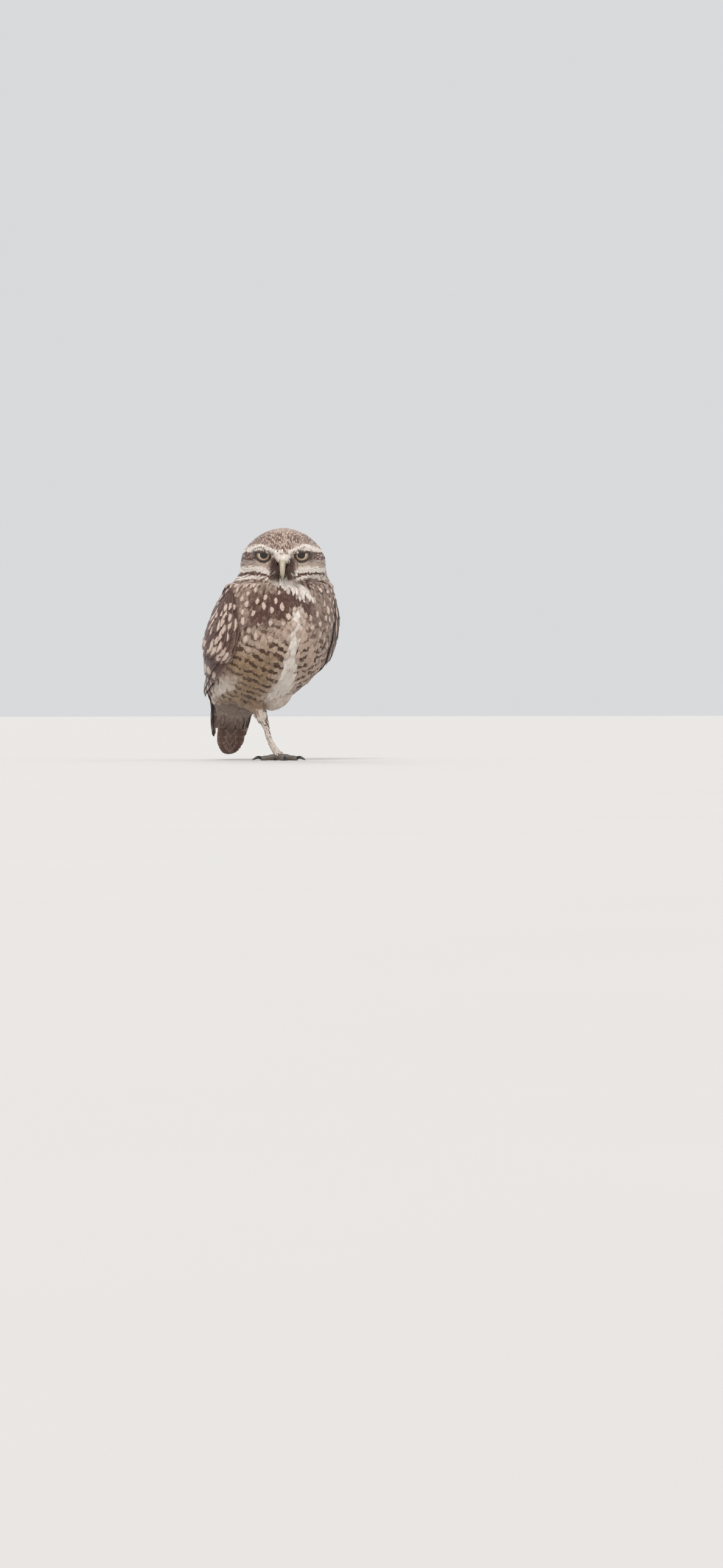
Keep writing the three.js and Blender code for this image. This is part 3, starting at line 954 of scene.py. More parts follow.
@dataclass(frozen=True)
class Vane:
    """One feather's plan: a thin closed vane, ridged along its shaft, with loose barbs round its end."""

    grain: Grain
    outline: Row = (0.3, 0.66, 0.88, 0.98, 1.0, 0.92, 0.68)
    fray: float = 0.12
    cup: float = 0.24
    thick: float = 0.18
    loose: float = 1.0

    def wide(self, along: Array) -> Array:
        """Half the vane's width, as a share of its greatest."""
        return smooth(self.outline, np.asarray(along) * (len(self.outline) - 1))

    def plan(self) -> tuple[Array, list[list[int]]]:
        """Where the vertices are, and the faces.

        Returns:
            A row for each vertex, with its place across in the vane (-1 to 1), the same as a share of the
            greatest half width, its place along (0 to 1) and its height in millimetres. Then the faces.
        """
        rows, columns = self.grain.value[:2]
        f = np.arange(1, rows) / rows
        spots = [(0.0, 0.0, 0.0, 0.0)]
        for i, place in enumerate(f + 0.18 * f * (1 - f)):
            for edge in np.linspace(-1, 1, columns + 1):
                frayed = 1 - self.fray * (i % 2) * (abs(edge) == 1)
                height = self.thick * (1 - abs(edge) ** 1.5)
                spots.append((edge, edge * self.wide(place) * frayed, place, height))
        tip = len(spots)
        spots.append((0.0, 0.0, 1.0, 0.0))
        starts = [1 + i * (columns + 1) for i in range(rows - 1)]
        first, last = starts[0], starts[-1]
        faces = [[0, first, first + columns], [tip, last + columns, last]]
        for j in range(columns):
            faces.append([0, first + j + 1, first + j])
            faces.append([tip, last + j, last + j + 1])
            faces += [[a + j, a + j + 1, b + j + 1, b + j] for a, b in zip(starts, starts[1:])]
        faces += [[a, b, b + columns, a + columns] for a, b in zip(starts, starts[1:])]
        self.add_barbs(spots, faces)
        return np.array(spots), faces

    def add_barbs(self, spots: list[Row], faces: list[list[int]]) -> None:
        """Adds the loose barbs, each a thin spike of four faces, outwards from the vane's edge and face.

        Args:
            spots: The vane's vertices, to which the barbs' are added.
            faces: Its faces, to which theirs are added.
        """
        rim, face = self.grain.value[2:]
        for k in range(rim + face):
            share = (k + 0.5) / rim if k < rim else ((k - rim) * 0.618 + 0.2) % 1
            place = 0.42 + 0.54 * share**0.8 if k < rim else 0.3 + 0.55 * (k - rim + 0.5) / face
            inset = 1 - 0.55 * share**3 if k < rim else 0.12 + 0.6 * share
            rise = 0.0 if k < rim else self.thick * (1 - inset**1.5)
            reach = self.loose * (1 + 0.35 * math.sin(5.1 * k))
            for side in (-1, 1):
                root = side * self.wide(place) * inset
                first = len(spots)
                tip_u = root + side * reach * mix(0.26, 0.12, share)
                tip_v = place + reach * mix(0.08, 0.14, share)
                up = rise + (0.0 if k < rim else 0.28)
                for across, along, height in (
                    (root, place - 0.014, rise + 0.05), (root, place + 0.014, rise + 0.05),
                    (root * 0.94, place, rise - 0.1), (tip_u, tip_v, up - 0.04 + 0.1 * share),
                ):
                    edge = float(side) * min(1.0, abs(across) / self.wide(place))
                    spots.append((edge, float(across), along, height))
                low, high, under, end = range(first, first + 4)
                spike = [[low, end, high], [low, under, end], [under, high, end], [low, high, under]]
                faces += [part[::side] for part in spike]


QUILL = Vane(Grain.QUILL, (0.42, 0.86, 1.0, 1.0, 1.0, 0.97, 0.84, 0.52), 0.025, 0.12, 0.4)
COVERT = Vane(Grain.BODY, (0.4, 0.8, 0.97, 1.0, 0.96, 0.86, 0.6), 0.06, 0.18, 0.2, 0.6)
SOFT = Vane(Grain.BODY)
SHORT = Vane(Grain.SMALL, fray=0.1, cup=0.22, thick=0.1)
CROWN = Vane(Grain.SMALL, cup=0.22, thick=0.14)
SHANK = Vane(Grain.SMALL, fray=0.2, cup=0.2, thick=0.1)
BRISTLE = Vane(Grain.BRISTLE, (0.8, 1.0, 0.7, 0.3), 0.0, 0.2, 0.12)


@dataclass
class Feathers:
    """Many feathers of one plan, each along its own middle line, made as one joined mesh."""

    name: str
    vane: Vane
    middles: Array
    normals: Array
    halves: Array
    rolls: Array
    tints: Array
    marks: Array
    seeds: Array
    ovals: Array
    phases: Array
    patches: Array

    def build(self) -> Piece:
        """Makes the mesh with its maps and attributes.

        Returns:
            The new piece, at the origin.
        """
        spots, faces = self.vane.plan()
        c, u, v, h = spots.T
        count, points = self.middles.shape[:2]
        place = v * (points - 1)
        low = np.clip(np.floor(place).astype(int), 0, points - 2)
        share = (place - low)[None, :, None]

        def between(rows: Array) -> Array:
            """The values at each vertex, from those at the points of the middle lines."""
            return rows[:, low] * (1 - share) + rows[:, low + 1] * share

        tangents = unit(np.gradient(self.middles, axis=1))
        tangent, normal = unit(between(tangents)), unit(between(self.normals))
        aside = unit(np.cross(tangent, normal))
        across = self.halves[:, None] * u[None, :]
        rise = h[None, :] - self.vane.cup * np.abs(across) * np.abs(c)[None, :]
        rise = rise + np.tan(self.rolls)[:, None] * across
        where = between(self.middles) + aside * across[..., None] + normal * rise[..., None]
        vertices = Layout.to_row(where.reshape(-1, 3)).astype(np.float32)

        per = len(u)
        starts = np.arange(count) * per
        corners = np.concatenate([np.array(f) for f in faces])
        sizes = np.array([len(f) for f in faces])
        loops = (corners[None, :] + starts[:, None]).ravel()
        totals = np.tile(sizes, count)
        mesh = bpy.data.meshes.new(self.name)
        mesh.vertices.add(len(vertices))
        mesh.vertices.foreach_set("co", vertices.ravel())
        mesh.loops.add(len(loops))
        mesh.loops.foreach_set("vertex_index", loops.astype(np.int32))
        mesh.polygons.add(len(totals))
        mesh.polygons.foreach_set("loop_start", (np.cumsum(totals) - totals).astype(np.int32))
        mesh.update(calc_edges=True)
        mesh.validate()

        lie = np.stack([c * 0.5 + 0.5, np.minimum(v, 1)], -1)[corners].astype(np.float32)
        mesh.uv_layers.new(name=LIE_MAP).data.foreach_set("uv", np.tile(lie, (count, 1)).ravel())
        spread = (lie[None] - 0.5) * BAKE_PATCH + self.patches[:, None, :]
        mesh.uv_layers.new(name=BAKE_MAP).data.foreach_set("uv", spread.astype(np.float32).ravel())
        phase = self.phases[:, :1] + self.phases[:, 1:] * v[None, :]
        rest = np.repeat(np.stack([self.seeds, self.ovals], -1), per, axis=0)
        places = np.concatenate([phase.reshape(-1, 1), rest], axis=1)
        put_attribute(mesh, "tint", np.repeat(self.tints, per, axis=0))
        put_attribute(mesh, "mark", np.repeat(self.marks, per, axis=0))
        put_attribute(mesh, "place", places)
        obj = bpy.data.objects.new(self.name, mesh)
        link(obj)
        choose(obj)
        bpy.ops.object.shade_smooth_by_angle(angle=math.radians(50))
        return obj

    def piece(self, slot: str, *nodes: str) -> Piece:
        """Makes the piece and settles it.

        Args:
            slot: Its slot.
            *nodes: The solids that it stands for.

        Returns:
            The piece.
        """
        obj = self.build()
        LOG.info("%s: %d feathers", self.name, len(self.middles))
        settle(obj, bpy.data.materials[PLUMAGE.name], slot, *nodes)
        return obj


# The skin and the lie of the feathers on it


class Chart:
    """Tells where on the body a point lies: its station, its angle and its distance along the body.

    The distance grows to the sides too, so that bars of equal distance slope down to the middle.
    """

    bar_slope: float = 0.4

    def __init__(self) -> None:
        """Lays out the table of the body's points."""
        stations, angles = np.arange(0, 8.61, 0.1), np.arange(-180, 180, 4.0)
        grid_t, grid_a = np.meshgrid(stations, angles, indexing="ij")
        points = BODY.at(grid_t, grid_a)
        steps = np.linalg.norm(np.diff(points, axis=0), axis=-1)
        run = np.concatenate([np.zeros((1, len(angles))), np.cumsum(steps, axis=0)])
        self.rows = np.stack(
            [grid_t, np.cos(np.radians(grid_a)), np.sin(np.radians(grid_a)), run], -1
        ).reshape(-1, 4)
        self.tree = search_tree(points.reshape(-1, 3))

    def read(self, points: Array) -> tuple[Array, Array, Array]:
        """Finds points on the body.

        Args:
            points: Places in the owl's layout.

        Returns:
            Their stations, angles in degrees and distances along the body.
        """
        made = np.zeros((len(points), 4))
        for k, point in enumerate(points):
            near = self.tree.find_n(point, 4)
            weights = np.array([1 / (n[2] ** 2 + 0.3) for n in near])
            made[k] = weights @ self.rows[[n[1] for n in near]] / weights.sum()
        angle = np.degrees(np.arctan2(made[:, 2], made[:, 1]))
        return made[:, 0], angle, made[:, 3] + self.bar_slope * np.minimum(np.abs(angle), 100)


@dataclass
class Traits:
    """What the feathers at some places of the skin are like, one value for each place."""

    length: Array
    half: Array
    spacing: Array
    lift: Array
    tint: Array
    mark: Array
    oval: Array


@dataclass(frozen=True)
class LegLine:
    """The middle line of the standing leg, from the belly to the foot."""

    points: tuple[Point, ...] = (
        (-16, 16, 61), (-13, 8, 47), (-11, 2, 38), (-6, 0, 23), (5, -7, 4.1),
    )
    reach: Row = (17, 13, 9, 6, 8)
    slimness: float = 0.78
    shift: Point = (3.2, -1.7, 0)

    def read(self, places: Array) -> tuple[Array, Array, Array, Array]:
        """Finds places on the leg.

        Args:
            places: Places in the owl's layout.

        Returns:
            How far they belong to the leg, how far down it they are, the way down and its middle there.
        """
        best = np.full(len(places), np.inf)
        down, way, middle = np.zeros(len(places)), np.zeros_like(places), np.zeros_like(places)
        line = np.array(self.points)
        for k in range(len(line) - 1):
            run = line[k + 1] - line[k]
            share = np.clip((places - line[k]) @ run / (run @ run), 0, 1)
            away = np.linalg.norm(places - line[k] - share[:, None] * run, axis=1)
            away = away / mix(self.reach[k], self.reach[k + 1], share)
            nearer = away < best
            best[nearer] = away[nearer]
            down[nearer] = (k + share)[nearer]
            way[nearer] = run / np.linalg.norm(run)
            middle[nearer] = (line[k] + share[:, None] * run)[nearer]
        return step(1.0, 0.8, best) * step(57, 51, places[:, 2]), down, way, middle

    def slim(self, places: Array) -> Array:
        """Draws the shank in and sets it forward, as it shows under the fluff.

        Args:
            places: Places in the owl's layout.

        Returns:
            The same places, moved where they belong to the shank.
        """
        leg, down, _, middle = self.read(places)
        share = (leg * step(0.1, 1.0, down) * step(3.8, 2.6, down))[:, None]
        away = places - middle
        thin = middle + away * self.slimness + self.shift
        return mix(places, thin, share)


LEG = LegLine()


@dataclass(frozen=True)
class Markings:
    """The owl's markings and the sizes of its feathers, by place."""

    bar_pitch: float = 8.6
    dash_turn: float = 0.27
    head_rise: Pair = (157, 165)
    above_turn: Pair = (88, 106)
    collar_low: Curve = ((-100, -60, -35, -15, 0, 15, 40, 100), (116, 122, 128, 136, 139, 134, 118, 108))
    throat_at: Curve = ((147, 152, 157, 165), (17, 8, -3, -12))
    throat_half: Curve = ((147, 152, 157, 165), (7, 9.5, 13, 18))
    stripe_shift: Curve = ((60, 67, 83, 100), (9, 8, 4, 0))
    stripe_half: Curve = ((48, 58, 67, 83, 96, 138, 146), (18, 13, 11, 8, 4.6, 3.6, 2.6))
    brow_up: Curve = ((0, 7.5, 13, 18, 23, 29, 36), (6.7, 7.6, 11.6, 13.6, 13.8, 12.8, 11))
    brow_half: Curve = ((0, 7.5, 13, 18, 23, 29, 36), (3.0, 3.0, 2.7, 2.8, 2.8, 2.4, 1.4))
    lip_up: Curve = ((3, 8, 13, 20, 28, 38), (-14.5, -10.8, -7.4, -5.6, -5.4, -6.2))
    patch_at: Pair = (17.6, 7.2)
    patch_half: Pair = (9.8, 5.7)
    lores_at: Pair = (6.4, -3.0)
    lores_half: Pair = (3.8, 8.5)
    line_drop: float = 3.9
    second_drop: float = 7.2
    body_length: Curve = ((60, 90, 125, 150, 160), (17, 18, 15, 12, 9.5))
    leg_length: Curve = ((0, 1.5, 2.2, 4), (9, 8, 5, 4))
    leg_lift: Curve = ((0, 1.6, 2.1, 2.6, 4), (2.2, 2.4, 1.6, 0.9, 0.7))
    oval_length: float = 3.9
    wing_tint: Point = (0.9, 0.0, 0.1)
    wing_mark: Point = (0.8, 0.0, 0.0)
    fluff_tint: Point = (0.0, 0.62, 0.15)
    shank_tint: Point = (0.3, 0.1, 0.6)
    tarsus_tint: Point = (0.1, 0.62, 0.05)

    def read(self, points: Array, chart: Chart, rng: Chance) -> Traits:
        """The traits at points of the skin.

        Args:
            points: Places in the owl's layout.
            chart: Tells where on the body they lie.
            rng: Draws which feathers carry a spot.

        Returns:
            The traits.
        """
        t, angle, run = chart.read(points)
        h = HEAD.inward(points)
        chance = rng.random(len(points))
        on_head = step(*self.head_rise, points[:, 2])
        leg, down = LEG.read(points)[:2]
        body, head = self.body(points, angle, run), self.head(h, chance)
        tint, mark = (mix(body[k], head[k], on_head[:, None]) for k in (0, 1))
        wing = (WING.part(WING.arm, t, angle) * (1 - on_head))[:, None]
        tint, mark = mix(tint, np.array(self.wing_tint), wing), mix(mark, np.array(self.wing_mark), wing)
        fluff = WING.part(WING.plumes, t, angle)[:, None] * (1 - wing)
        tint = mix(tint, np.array(self.fluff_tint), fluff)
        mark = mark * (1 - fluff)
        low = step(1.0, 1.6, down)[:, None]
        tint = mix(tint, mix(np.array(self.shank_tint), np.array(self.tarsus_tint), low), leg[:, None])
        mark = mark * (1 - leg[:, None])

        # Short on the face and the leg, long on the flanks, with a ruff of longer ones round the head.
        hx, hy, hz = h.T
        front = step(4, -8, hy) * on_head
        eyes = [np.linalg.norm(HEAD.into_eye(s, points)[:, ::2], axis=1) for s in SIDES.values()]
        eyes = np.min(eyes, axis=0)
        near_eye = step(14, 9, eyes) * front
        near_bill = step(14, 8, np.hypot(hx, hz + 4)) * front
        brow = band(hz - np.interp(np.abs(hx), *self.brow_up), 3.5, 1.5) * front
        length = np.interp(points[:, 2], *self.body_length)
        above = step(*self.above_turn, np.abs(angle))
        length = mix(length, 14, above)
        length = mix(length, mix(7.6, 6.0, front), on_head)
        length = mix(length, mix(4.0, 5.2, step(9, 12, eyes)), near_eye)
        length = length + 1.6 * brow + 0.8 * near_bill
        ruff = step(-12.5, -17, hz) * on_head * step(6, 14, np.abs(hx))
        length = mix(length, mix(9.5, 12.5, step(8, -14, hx)), ruff)
        side = step(20, 27, np.abs(hx)) * band(hy + 4, 14, 5) * step(12, 4, hz) * on_head
        length = length + 2.0 * side * (1 - ruff)
        length = mix(length, np.interp(down, *self.leg_length), leg)
        half = mix(0.17 * length, 0.15 * length, np.maximum(on_head * 0.9, leg))
        spacing = mix(0.135 * length, 0.2 * length, on_head)
        spacing = mix(spacing, 1.7, ruff)
        spacing = mix(spacing, 0.9, np.maximum(near_eye, 0.9 * near_bill))
        spacing = mix(spacing, mix(1.6, 1.05, step(1.2, 2.4, down)), leg)
        lift = mix(2.5, mix(1.7, 1.25, front), on_head)
        lift = mix(lift, 0.8, near_eye) + 0.5 * brow * step(9, 12, eyes) + 1.1 * ruff + 0.9 * side
        lift = mix(lift, np.interp(down, *self.leg_lift), leg)
        oval = mix(self.oval_length / length, 0.34, on_head)
        return Traits(length, half, np.clip(spacing, 0.85, 4.0), lift, tint, mark, oval)

    def body(self, points: Array, angle: Array, run: Array) -> tuple[Array, Array]:
        """The body's spotted collar and back, its pale stripe and its barred breast and flanks.

        Args:
            points: Places in the owl's layout.
            angle: Their angles round the body, in degrees.
            run: Their distances along it.

        Returns:
            The tints and the marks.
        """
        x, _, z = points.T
        turn = np.abs(angle)
        right = step(4, -8, angle)
        wavy = 3.5 * np.sin(x * 0.45) + 2.5 * np.sin(x * 0.21 + 1)
        low = np.interp(angle, *self.collar_low)
        collar = step(low - 5 + wavy, low + 3 + wavy, z)
        upper = step(low - 30, low - 8, z) * (1 - collar)
        above = step(*self.above_turn, turn)
        shoulder = np.maximum(step(148, 156, z) * step(-12, -26, angle), step(-42, -58, angle))
        dark = collar * mix(1.0, 0.5, shoulder) * mix(1.0, 0.55, step(8, 24, angle))
        dark = dark + upper * 0.42 * step(5, 18, turn)
        dark = mix(dark, 0.9, above)
        throat = band(angle - np.interp(z, *self.throat_at), np.interp(z, *self.throat_half), 4)
        throat = throat * band(z - 157.5, 10, 2.5)
        middle = np.interp(z, BODY.z[7::-1], BODY.x[7::-1]) + np.interp(z, *self.stripe_shift)
        stripe = band(x - middle, np.interp(z, *self.stripe_half), 3.6)
        stripe = stripe * step(143, 137, z) * step(75, 62, turn)
        # The vent is tinted dark and warm: partly its own buff colour, partly painted shade of the
        # underside.
        vent = step(60, 50, z) * (1 - above)
        pale = np.maximum.reduce([throat, 0.95 * stripe * (1 - 0.85 * vent), 0.15 * vent])
        plain = (1 - throat) * (1 - stripe)
        warm = band(z - 76, 27, 14) * step(4, 22, turn) * (1 - above) * mix(0.35, 0.95, right)
        warm = np.maximum(warm * plain, 0.8 * vent)
        bars = step(124, 108, z) * step(50, 57, z) * step(3, 10, turn)
        bars = np.maximum(bars, 0.8 * upper) * plain * (1 - above)
        row = np.floor(run / self.bar_pitch + 0.25)
        dash = np.sin(angle * self.dash_turn + 2.3 * row + np.sin(1.7 * row))
        bars = bars * step(-0.95, -0.5, dash)
        spots = np.maximum(collar * (1 - throat), above * 0.8)
        spots = np.maximum(spots, 0.9 * upper * (1 - stripe))
        # The vent's dark share is painted shade.
        tint = np.stack([mix(dark * plain, 0.6, vent), pale, warm], -1)
        return tint, np.stack([spots, bars, 0 * bars], -1)

    def head(self, h: Array, chance: Array) -> tuple[Array, Array]:
        """The head's brows, eye patches, lores and pale lip lines, and its spotted crown.

        Args:
            h: Places in the head's frame.
            chance: A number from 0 to 1 for each, which tells whether its feather carries a spot.

        Returns:
            The tints and the marks.
        """
        hx, hy, hz = h.T
        ax = np.abs(hx)
        front = step(4, -6, hy)
        brow_up = np.interp(ax, *self.brow_up)
        brow = band(hz - brow_up, np.interp(ax, *self.brow_half), 0.7) * step(4, -4, hy)
        lip_up = np.interp(ax, *self.lip_up)
        lip = band(hz - lip_up, mix(1.9, 2.7, step(4, 14, ax)), 0.6) * step(12, 2, hy) * step(2.2, 4, ax)
        second = band(hz - lip_up + self.second_drop, 1.7, 0.6) * step(8, 13, ax) * step(6, -2, hy)
        chin = band(hx, 9.5, 2) * step(-12.5, -15.5, hz) * front
        line = band(hz - lip_up + self.line_drop, 1.4, 0.5) * front * step(5, 8, ax)
        (px, pz), (pw, ph) = self.patch_at, self.patch_half
        patch = step(1.12, 0.88, np.hypot((ax - px) / pw, (hz - pz) / ph)) * front
        cheek = step(21, 27, ax) * band(hz - 5.0, 7.0, 2.5) * step(16, 4, hy)
        (lx, lz), (lw, lh) = self.lores_at, self.lores_half
        lores = band(ax - lx, lw, 1.2) * band(hz - lz, lh, 2.5) * front
        under = band(hz - 0.2, 2.6, 1.2) * step(9, 12, ax) * front
        crown = step(brow_up + 2.2, brow_up + 4.2, hz)
        behind = step(2, 14, hy)
        low = step(lip_up - 8.0, lip_up - 10.5, hz) * step(9, 13, ax)
        cheek_dark = mix(0.98, 0.85, step(-4, 4, hx))
        crown_dark = mix(0.62, 0.42, step(25, 31, hz))
        dark = np.maximum.reduce([
            patch * 0.95, cheek * cheek_dark, lores * 0.8, line, low * 0.72, crown * crown_dark,
            behind * 0.72, 0.25 * front,
        ])
        pale = np.maximum.reduce([brow, lip * 0.97, second * 0.75, chin, 0.35 * under])
        often = mix(0.62, 0.3, step(10, 22, ax) * (1 - behind))
        spots = np.maximum(crown, behind) * np.where(chance < often, 0.85, 0.0)
        spots = np.maximum(spots, np.where(chance < 0.35, 0.6, 0) * np.maximum(cheek, low))
        none = 0 * ax
        return np.stack([dark * (1 - pale), pale, none], -1), np.stack([spots * (1 - pale), none, none], -1)


@dataclass
class Skin:
    """One skin inside the solids of the flesh, by the depth of the coat."""

    nodes: tuple[str, ...] = ("head", "neck", "torso", "shank_right", "tarsus_right")
    winged: tuple[str, ...] = ("wing_right", "wing_left")
    voxel: float = 1.05
    depth: float = 2.1
    levels: int = 10
    eye_depth: float = 0.3
    wing_depth: float = 0.5
    leg_depth: Curve = ((0, 1, 2, 4), (1.8, 1.4, 0.4, 0.3))
    eye_sink: float = 1.7

    def build(self, chart: Chart, markings: Markings) -> Piece:
        """Merges copies of the solids, draws them in, closes them round the eyes and marks them.

        Args:
            chart: Tells where on the body a point lies.
            markings: The owl's markings.

        Returns:
            The skin, with its own unwrap as its bake map.
        """
        obj = self.merge()
        points = read_places(obj)
        depth = self.depth_at(points, chart)
        group = obj.vertex_groups.new(name="depth")
        levels = np.round(depth * self.levels).astype(int)
        for level in np.unique(levels):
            some = np.flatnonzero(levels == level).tolist()
            group.add(some, level / self.levels / self.depth, "REPLACE")
        modify(
            obj, "DISPLACE", strength=-self.depth * MM, mid_level=0.0, direction="NORMAL",
            vertex_group="depth",
        )
        modify(obj, "SMOOTH", factor=0.5, iterations=2)
        set_places(obj, LEG.slim(read_places(obj)))
        self.close_round_eyes(obj)
        choose(obj)
        bpy.ops.object.mode_set(mode="EDIT")
        bpy.ops.mesh.select_all(action="SELECT")
        bpy.ops.mesh.normals_make_consistent(inside=False)
        bpy.ops.uv.smart_project(angle_limit=math.radians(60), island_margin=0.004)
        bpy.ops.object.mode_set(mode="OBJECT")
        bpy.ops.object.shade_smooth()
        mesh = obj.data
        mesh.uv_layers[0].name = BAKE_MAP
        points = read_places(obj)
        traits = markings.read(points, chart, np.random.default_rng(3))
        _, _, run = chart.read(points)
        put_attribute(mesh, "tint", traits.tint)
        put_attribute(mesh, "mark", traits.mark * np.array([0.0, 1.0, 0.0]))
        flat = np.full(len(points), 0.5)
        put_attribute(mesh, "place", np.stack([run / markings.bar_pitch, flat, flat], -1))
        return obj

    def merge(self) -> Piece:
        """Wraps copies of the solids, and of the eyes that fill their sockets, in one closed surface.

        Returns:
            The surface.
        """
        copies = []
        for node in (*self.nodes, "eye_right", "eye_left"):
            source = bpy.data.objects[node]
            copy = source.copy()
            copy.data = source.data.copy()
            copy.parent = None
            for key in list(copy.keys()):
                del copy[key]
            link(copy)
            copies.append(copy)
        copies += [self.arm(side) for side in SIDES]
        choose(copies[0])
        for copy in copies:
            copy.select_set(True)
        bpy.ops.object.join()
        obj = bpy.context.object
        obj.name = "skin"
        bpy.ops.object.mode_set(mode="EDIT")
        bpy.ops.mesh.select_all(action="SELECT")
        bpy.ops.mesh.remove_doubles(threshold=1e-6)
        bpy.ops.object.mode_set(mode="OBJECT")
        modify(obj, "REMESH", mode="VOXEL", voxel_size=self.voxel * MM)
        modify(obj, "SMOOTH", factor=0.5, iterations=8)
        return obj

    @staticmethod
    def arm(side: str) -> Piece:
        """The arm of a folded wing with its down, which swells the skin under the wing's feathers.

        Args:
            side: "right" or "left".

        Returns:
            A closed form, as a piece.
        """

        def shape(along: Array, turn: Array) -> Array:
            """Points round the form, which reaches into the body.

            Args:
                along: Places from the shoulder (0) to the end (1).
                turn: Turns round it, in radians.

            Returns:
                The points, one row each.
            """
            ends = np.sin(math.pi * along) ** 0.3
            across = 0.5 + 0.47 * np.cos(turn) * ends
            top = mix(0.78, 0.34, step(0.6, 1.0, along)) * WING.arch(across)
            level = mix(-0.7, top, 0.5 + 0.5 * np.sin(turn) * ends)
            return WING.at(side, mix(-0.01, 0.62, along), across, level, 0 * along)

        return sleeve(f"arm_{side}", 60, 48, shape)

    def depth_at(self, points: Array, chart: Chart) -> Array:
        """How deep the coat is at places of the solids.

        Args:
            points: Places in the owl's layout.
            chart: Tells where on the body they lie.

        Returns:
            The depths in millimetres.
        """
        on_head = step(157, 166, points[:, 2])
        face = step(4, -10, HEAD.inward(points)[:, 1])
        leg, down = LEG.read(points)[:2]
        depth = mix(self.depth, mix(1.5, 1.15, face), on_head)
        for side in SIDES.values():
            away = np.linalg.norm(HEAD.into_eye(side, points), axis=1)
            near = step(HEAD.eye_radius + 4, HEAD.eye_radius + 1.5, away) * on_head
            depth = mix(depth, self.eye_depth, near)
        depth = mix(depth, self.wing_depth, WING.part(WING.arm, *chart.read(points)[:2]))
        return mix(depth, np.interp(down, *self.leg_depth), leg)

    def close_round_eyes(self, obj: Piece) -> None:
        """Lays the skin close over each eye round the lids, and sinks it into the eye within them.

        Args:
            obj: The skin.
        """
        points = read_places(obj)
        radius = HEAD.eye_radius
        for side in SIDES.values():
            local = HEAD.into_eye(side, points)
            away = np.linalg.norm(local, axis=1)
            polar = np.arctan2(np.hypot(local[:, 0], local[:, 2]), local[:, 1])
            gap = polar - np.arcsin(HEAD.opening(side, local[:, 0], local[:, 2]) / radius)
            outer = mix(radius + 0.2, np.maximum(away, radius + 0.35), step(0.22, 0.55, gap))
            target = mix(radius - self.eye_sink, outer, step(0.02, 0.12, gap))
            share = step(1.75, 1.5, polar) * (away < radius + 6)
            points = HEAD.from_eye(side, local * (mix(away, target, share) / away)[:, None])
        set_places(obj, points)


class Ground:
    """The skin as the feathers need it: places to root, the nearest place, and the lie there."""

    def __init__(self, skin: Piece, chart: Chart) -> None:
        """Reads the skin's mesh.

        Args:
            skin: The skin.
            chart: Tells where on the body a point lies.
        """
        mesh = skin.data
        mesh.calc_loop_triangles()
        self.chart = chart
        self.points = read_places(skin)
        self.corners = np.array([t.vertices[:] for t in mesh.loop_triangles])
        loops = np.array([t.loops[:] for t in mesh.loop_triangles])
        uv = np.zeros(len(mesh.loops) * 2, np.float32)
        mesh.uv_layers[BAKE_MAP].data.foreach_get("uv", uv)
        self.maps = uv.reshape(-1, 2)[loops]
        a, b, c = (self.points[self.corners[:, k]] for k in range(3))
        crosses = np.cross(b - a, c - a)
        self.areas = np.linalg.norm(crosses, axis=1) / 2
        vertex = np.array([n.vector[:] for n in mesh.vertex_normals])
        self.normals = unit(vertex[self.corners].sum(1))
        self.tree = BVHTree.FromPolygons(self.points.tolist(), self.corners.tolist())

    def nearest(self, points: Array) -> tuple[Array, Array]:
        """Finds the nearest places on the skin.

        Args:
            points: Places in the owl's layout.

        Returns:
            The places on the skin and the directions out of it there.
        """
        found = [self.tree.find_nearest(p) for p in points.tolist()]
        places = np.array([f[0][:] for f in found])
        return places, self.normals[[f[2] for f in found]]

    def lie(self, points: Array, normals: Array) -> Array:
        """The direction in which the feathers lie at places of the skin.

        Args:
            points: Places in the owl's layout.
            normals: The directions out of the skin there.

        Returns:
            Directions of length one along the skin.
        """
        t, angle, _ = self.chart.read(points)
        down = BODY.at(t + 0.06, angle) - BODY.at(t - 0.06, angle)
        down = flatten(down, normals)
        h = HEAD.inward(points)
        away = unit(h - np.array([0, -36.0, -3.0]))
        away = away + step(0, 24, h[:, 1])[:, None] * np.array([0, 0.2, -1.6])
        for side in SIDES.values():
            spoke = h - (HEAD.eye(side) + np.array([0, -4.0, 0]))
            near = np.exp(-np.sum(spoke**2, axis=1) / 13.0**2) * (h[:, 1] < 0)
            away = away + 2.0 * near[:, None] * unit(spoke)
        away = flatten(away @ HEAD.rotation().T, normals)
        share = step(152, 166, points[:, 2])[:, None]
        both = mix(down, away, share)
        leg, _, way, _ = LEG.read(points)
        return flatten(mix(both, way, leg[:, None]), normals)

    def seeds(self, spacing: Array, rng: Chance, dense: float) -> tuple[Array, Array, Array]:
        """Scatters roots that keep apart.

        Args:
            spacing: The least distance between roots, for each triangle of the skin.
            rng: The source of chance.
            dense: How many candidates are drawn for each root.

        Returns:
            The roots, the directions out of the skin, and their places on the unwrap.
        """
        weights = self.areas / spacing**2
        count = int(dense * weights.sum())
        chosen = rng.choice(len(weights), count, p=weights / weights.sum())
        shares = rng.dirichlet([1, 1, 1], count)
        places = np.einsum("nk,nkc->nc", shares, self.points[self.corners[chosen]])
        tree = search_tree(places)
        alive = np.ones(count, bool)
        for i, place in enumerate(places.tolist()):
            if alive[i]:
                for _, j, _ in tree.find_range(place, spacing[chosen[i]]):
                    alive[j] &= j <= i
        kept = np.flatnonzero(alive)
        maps = np.einsum("nk,nkc->nc", shares[kept], self.maps[chosen[kept]])
        return places[kept], self.normals[chosen[kept]], maps


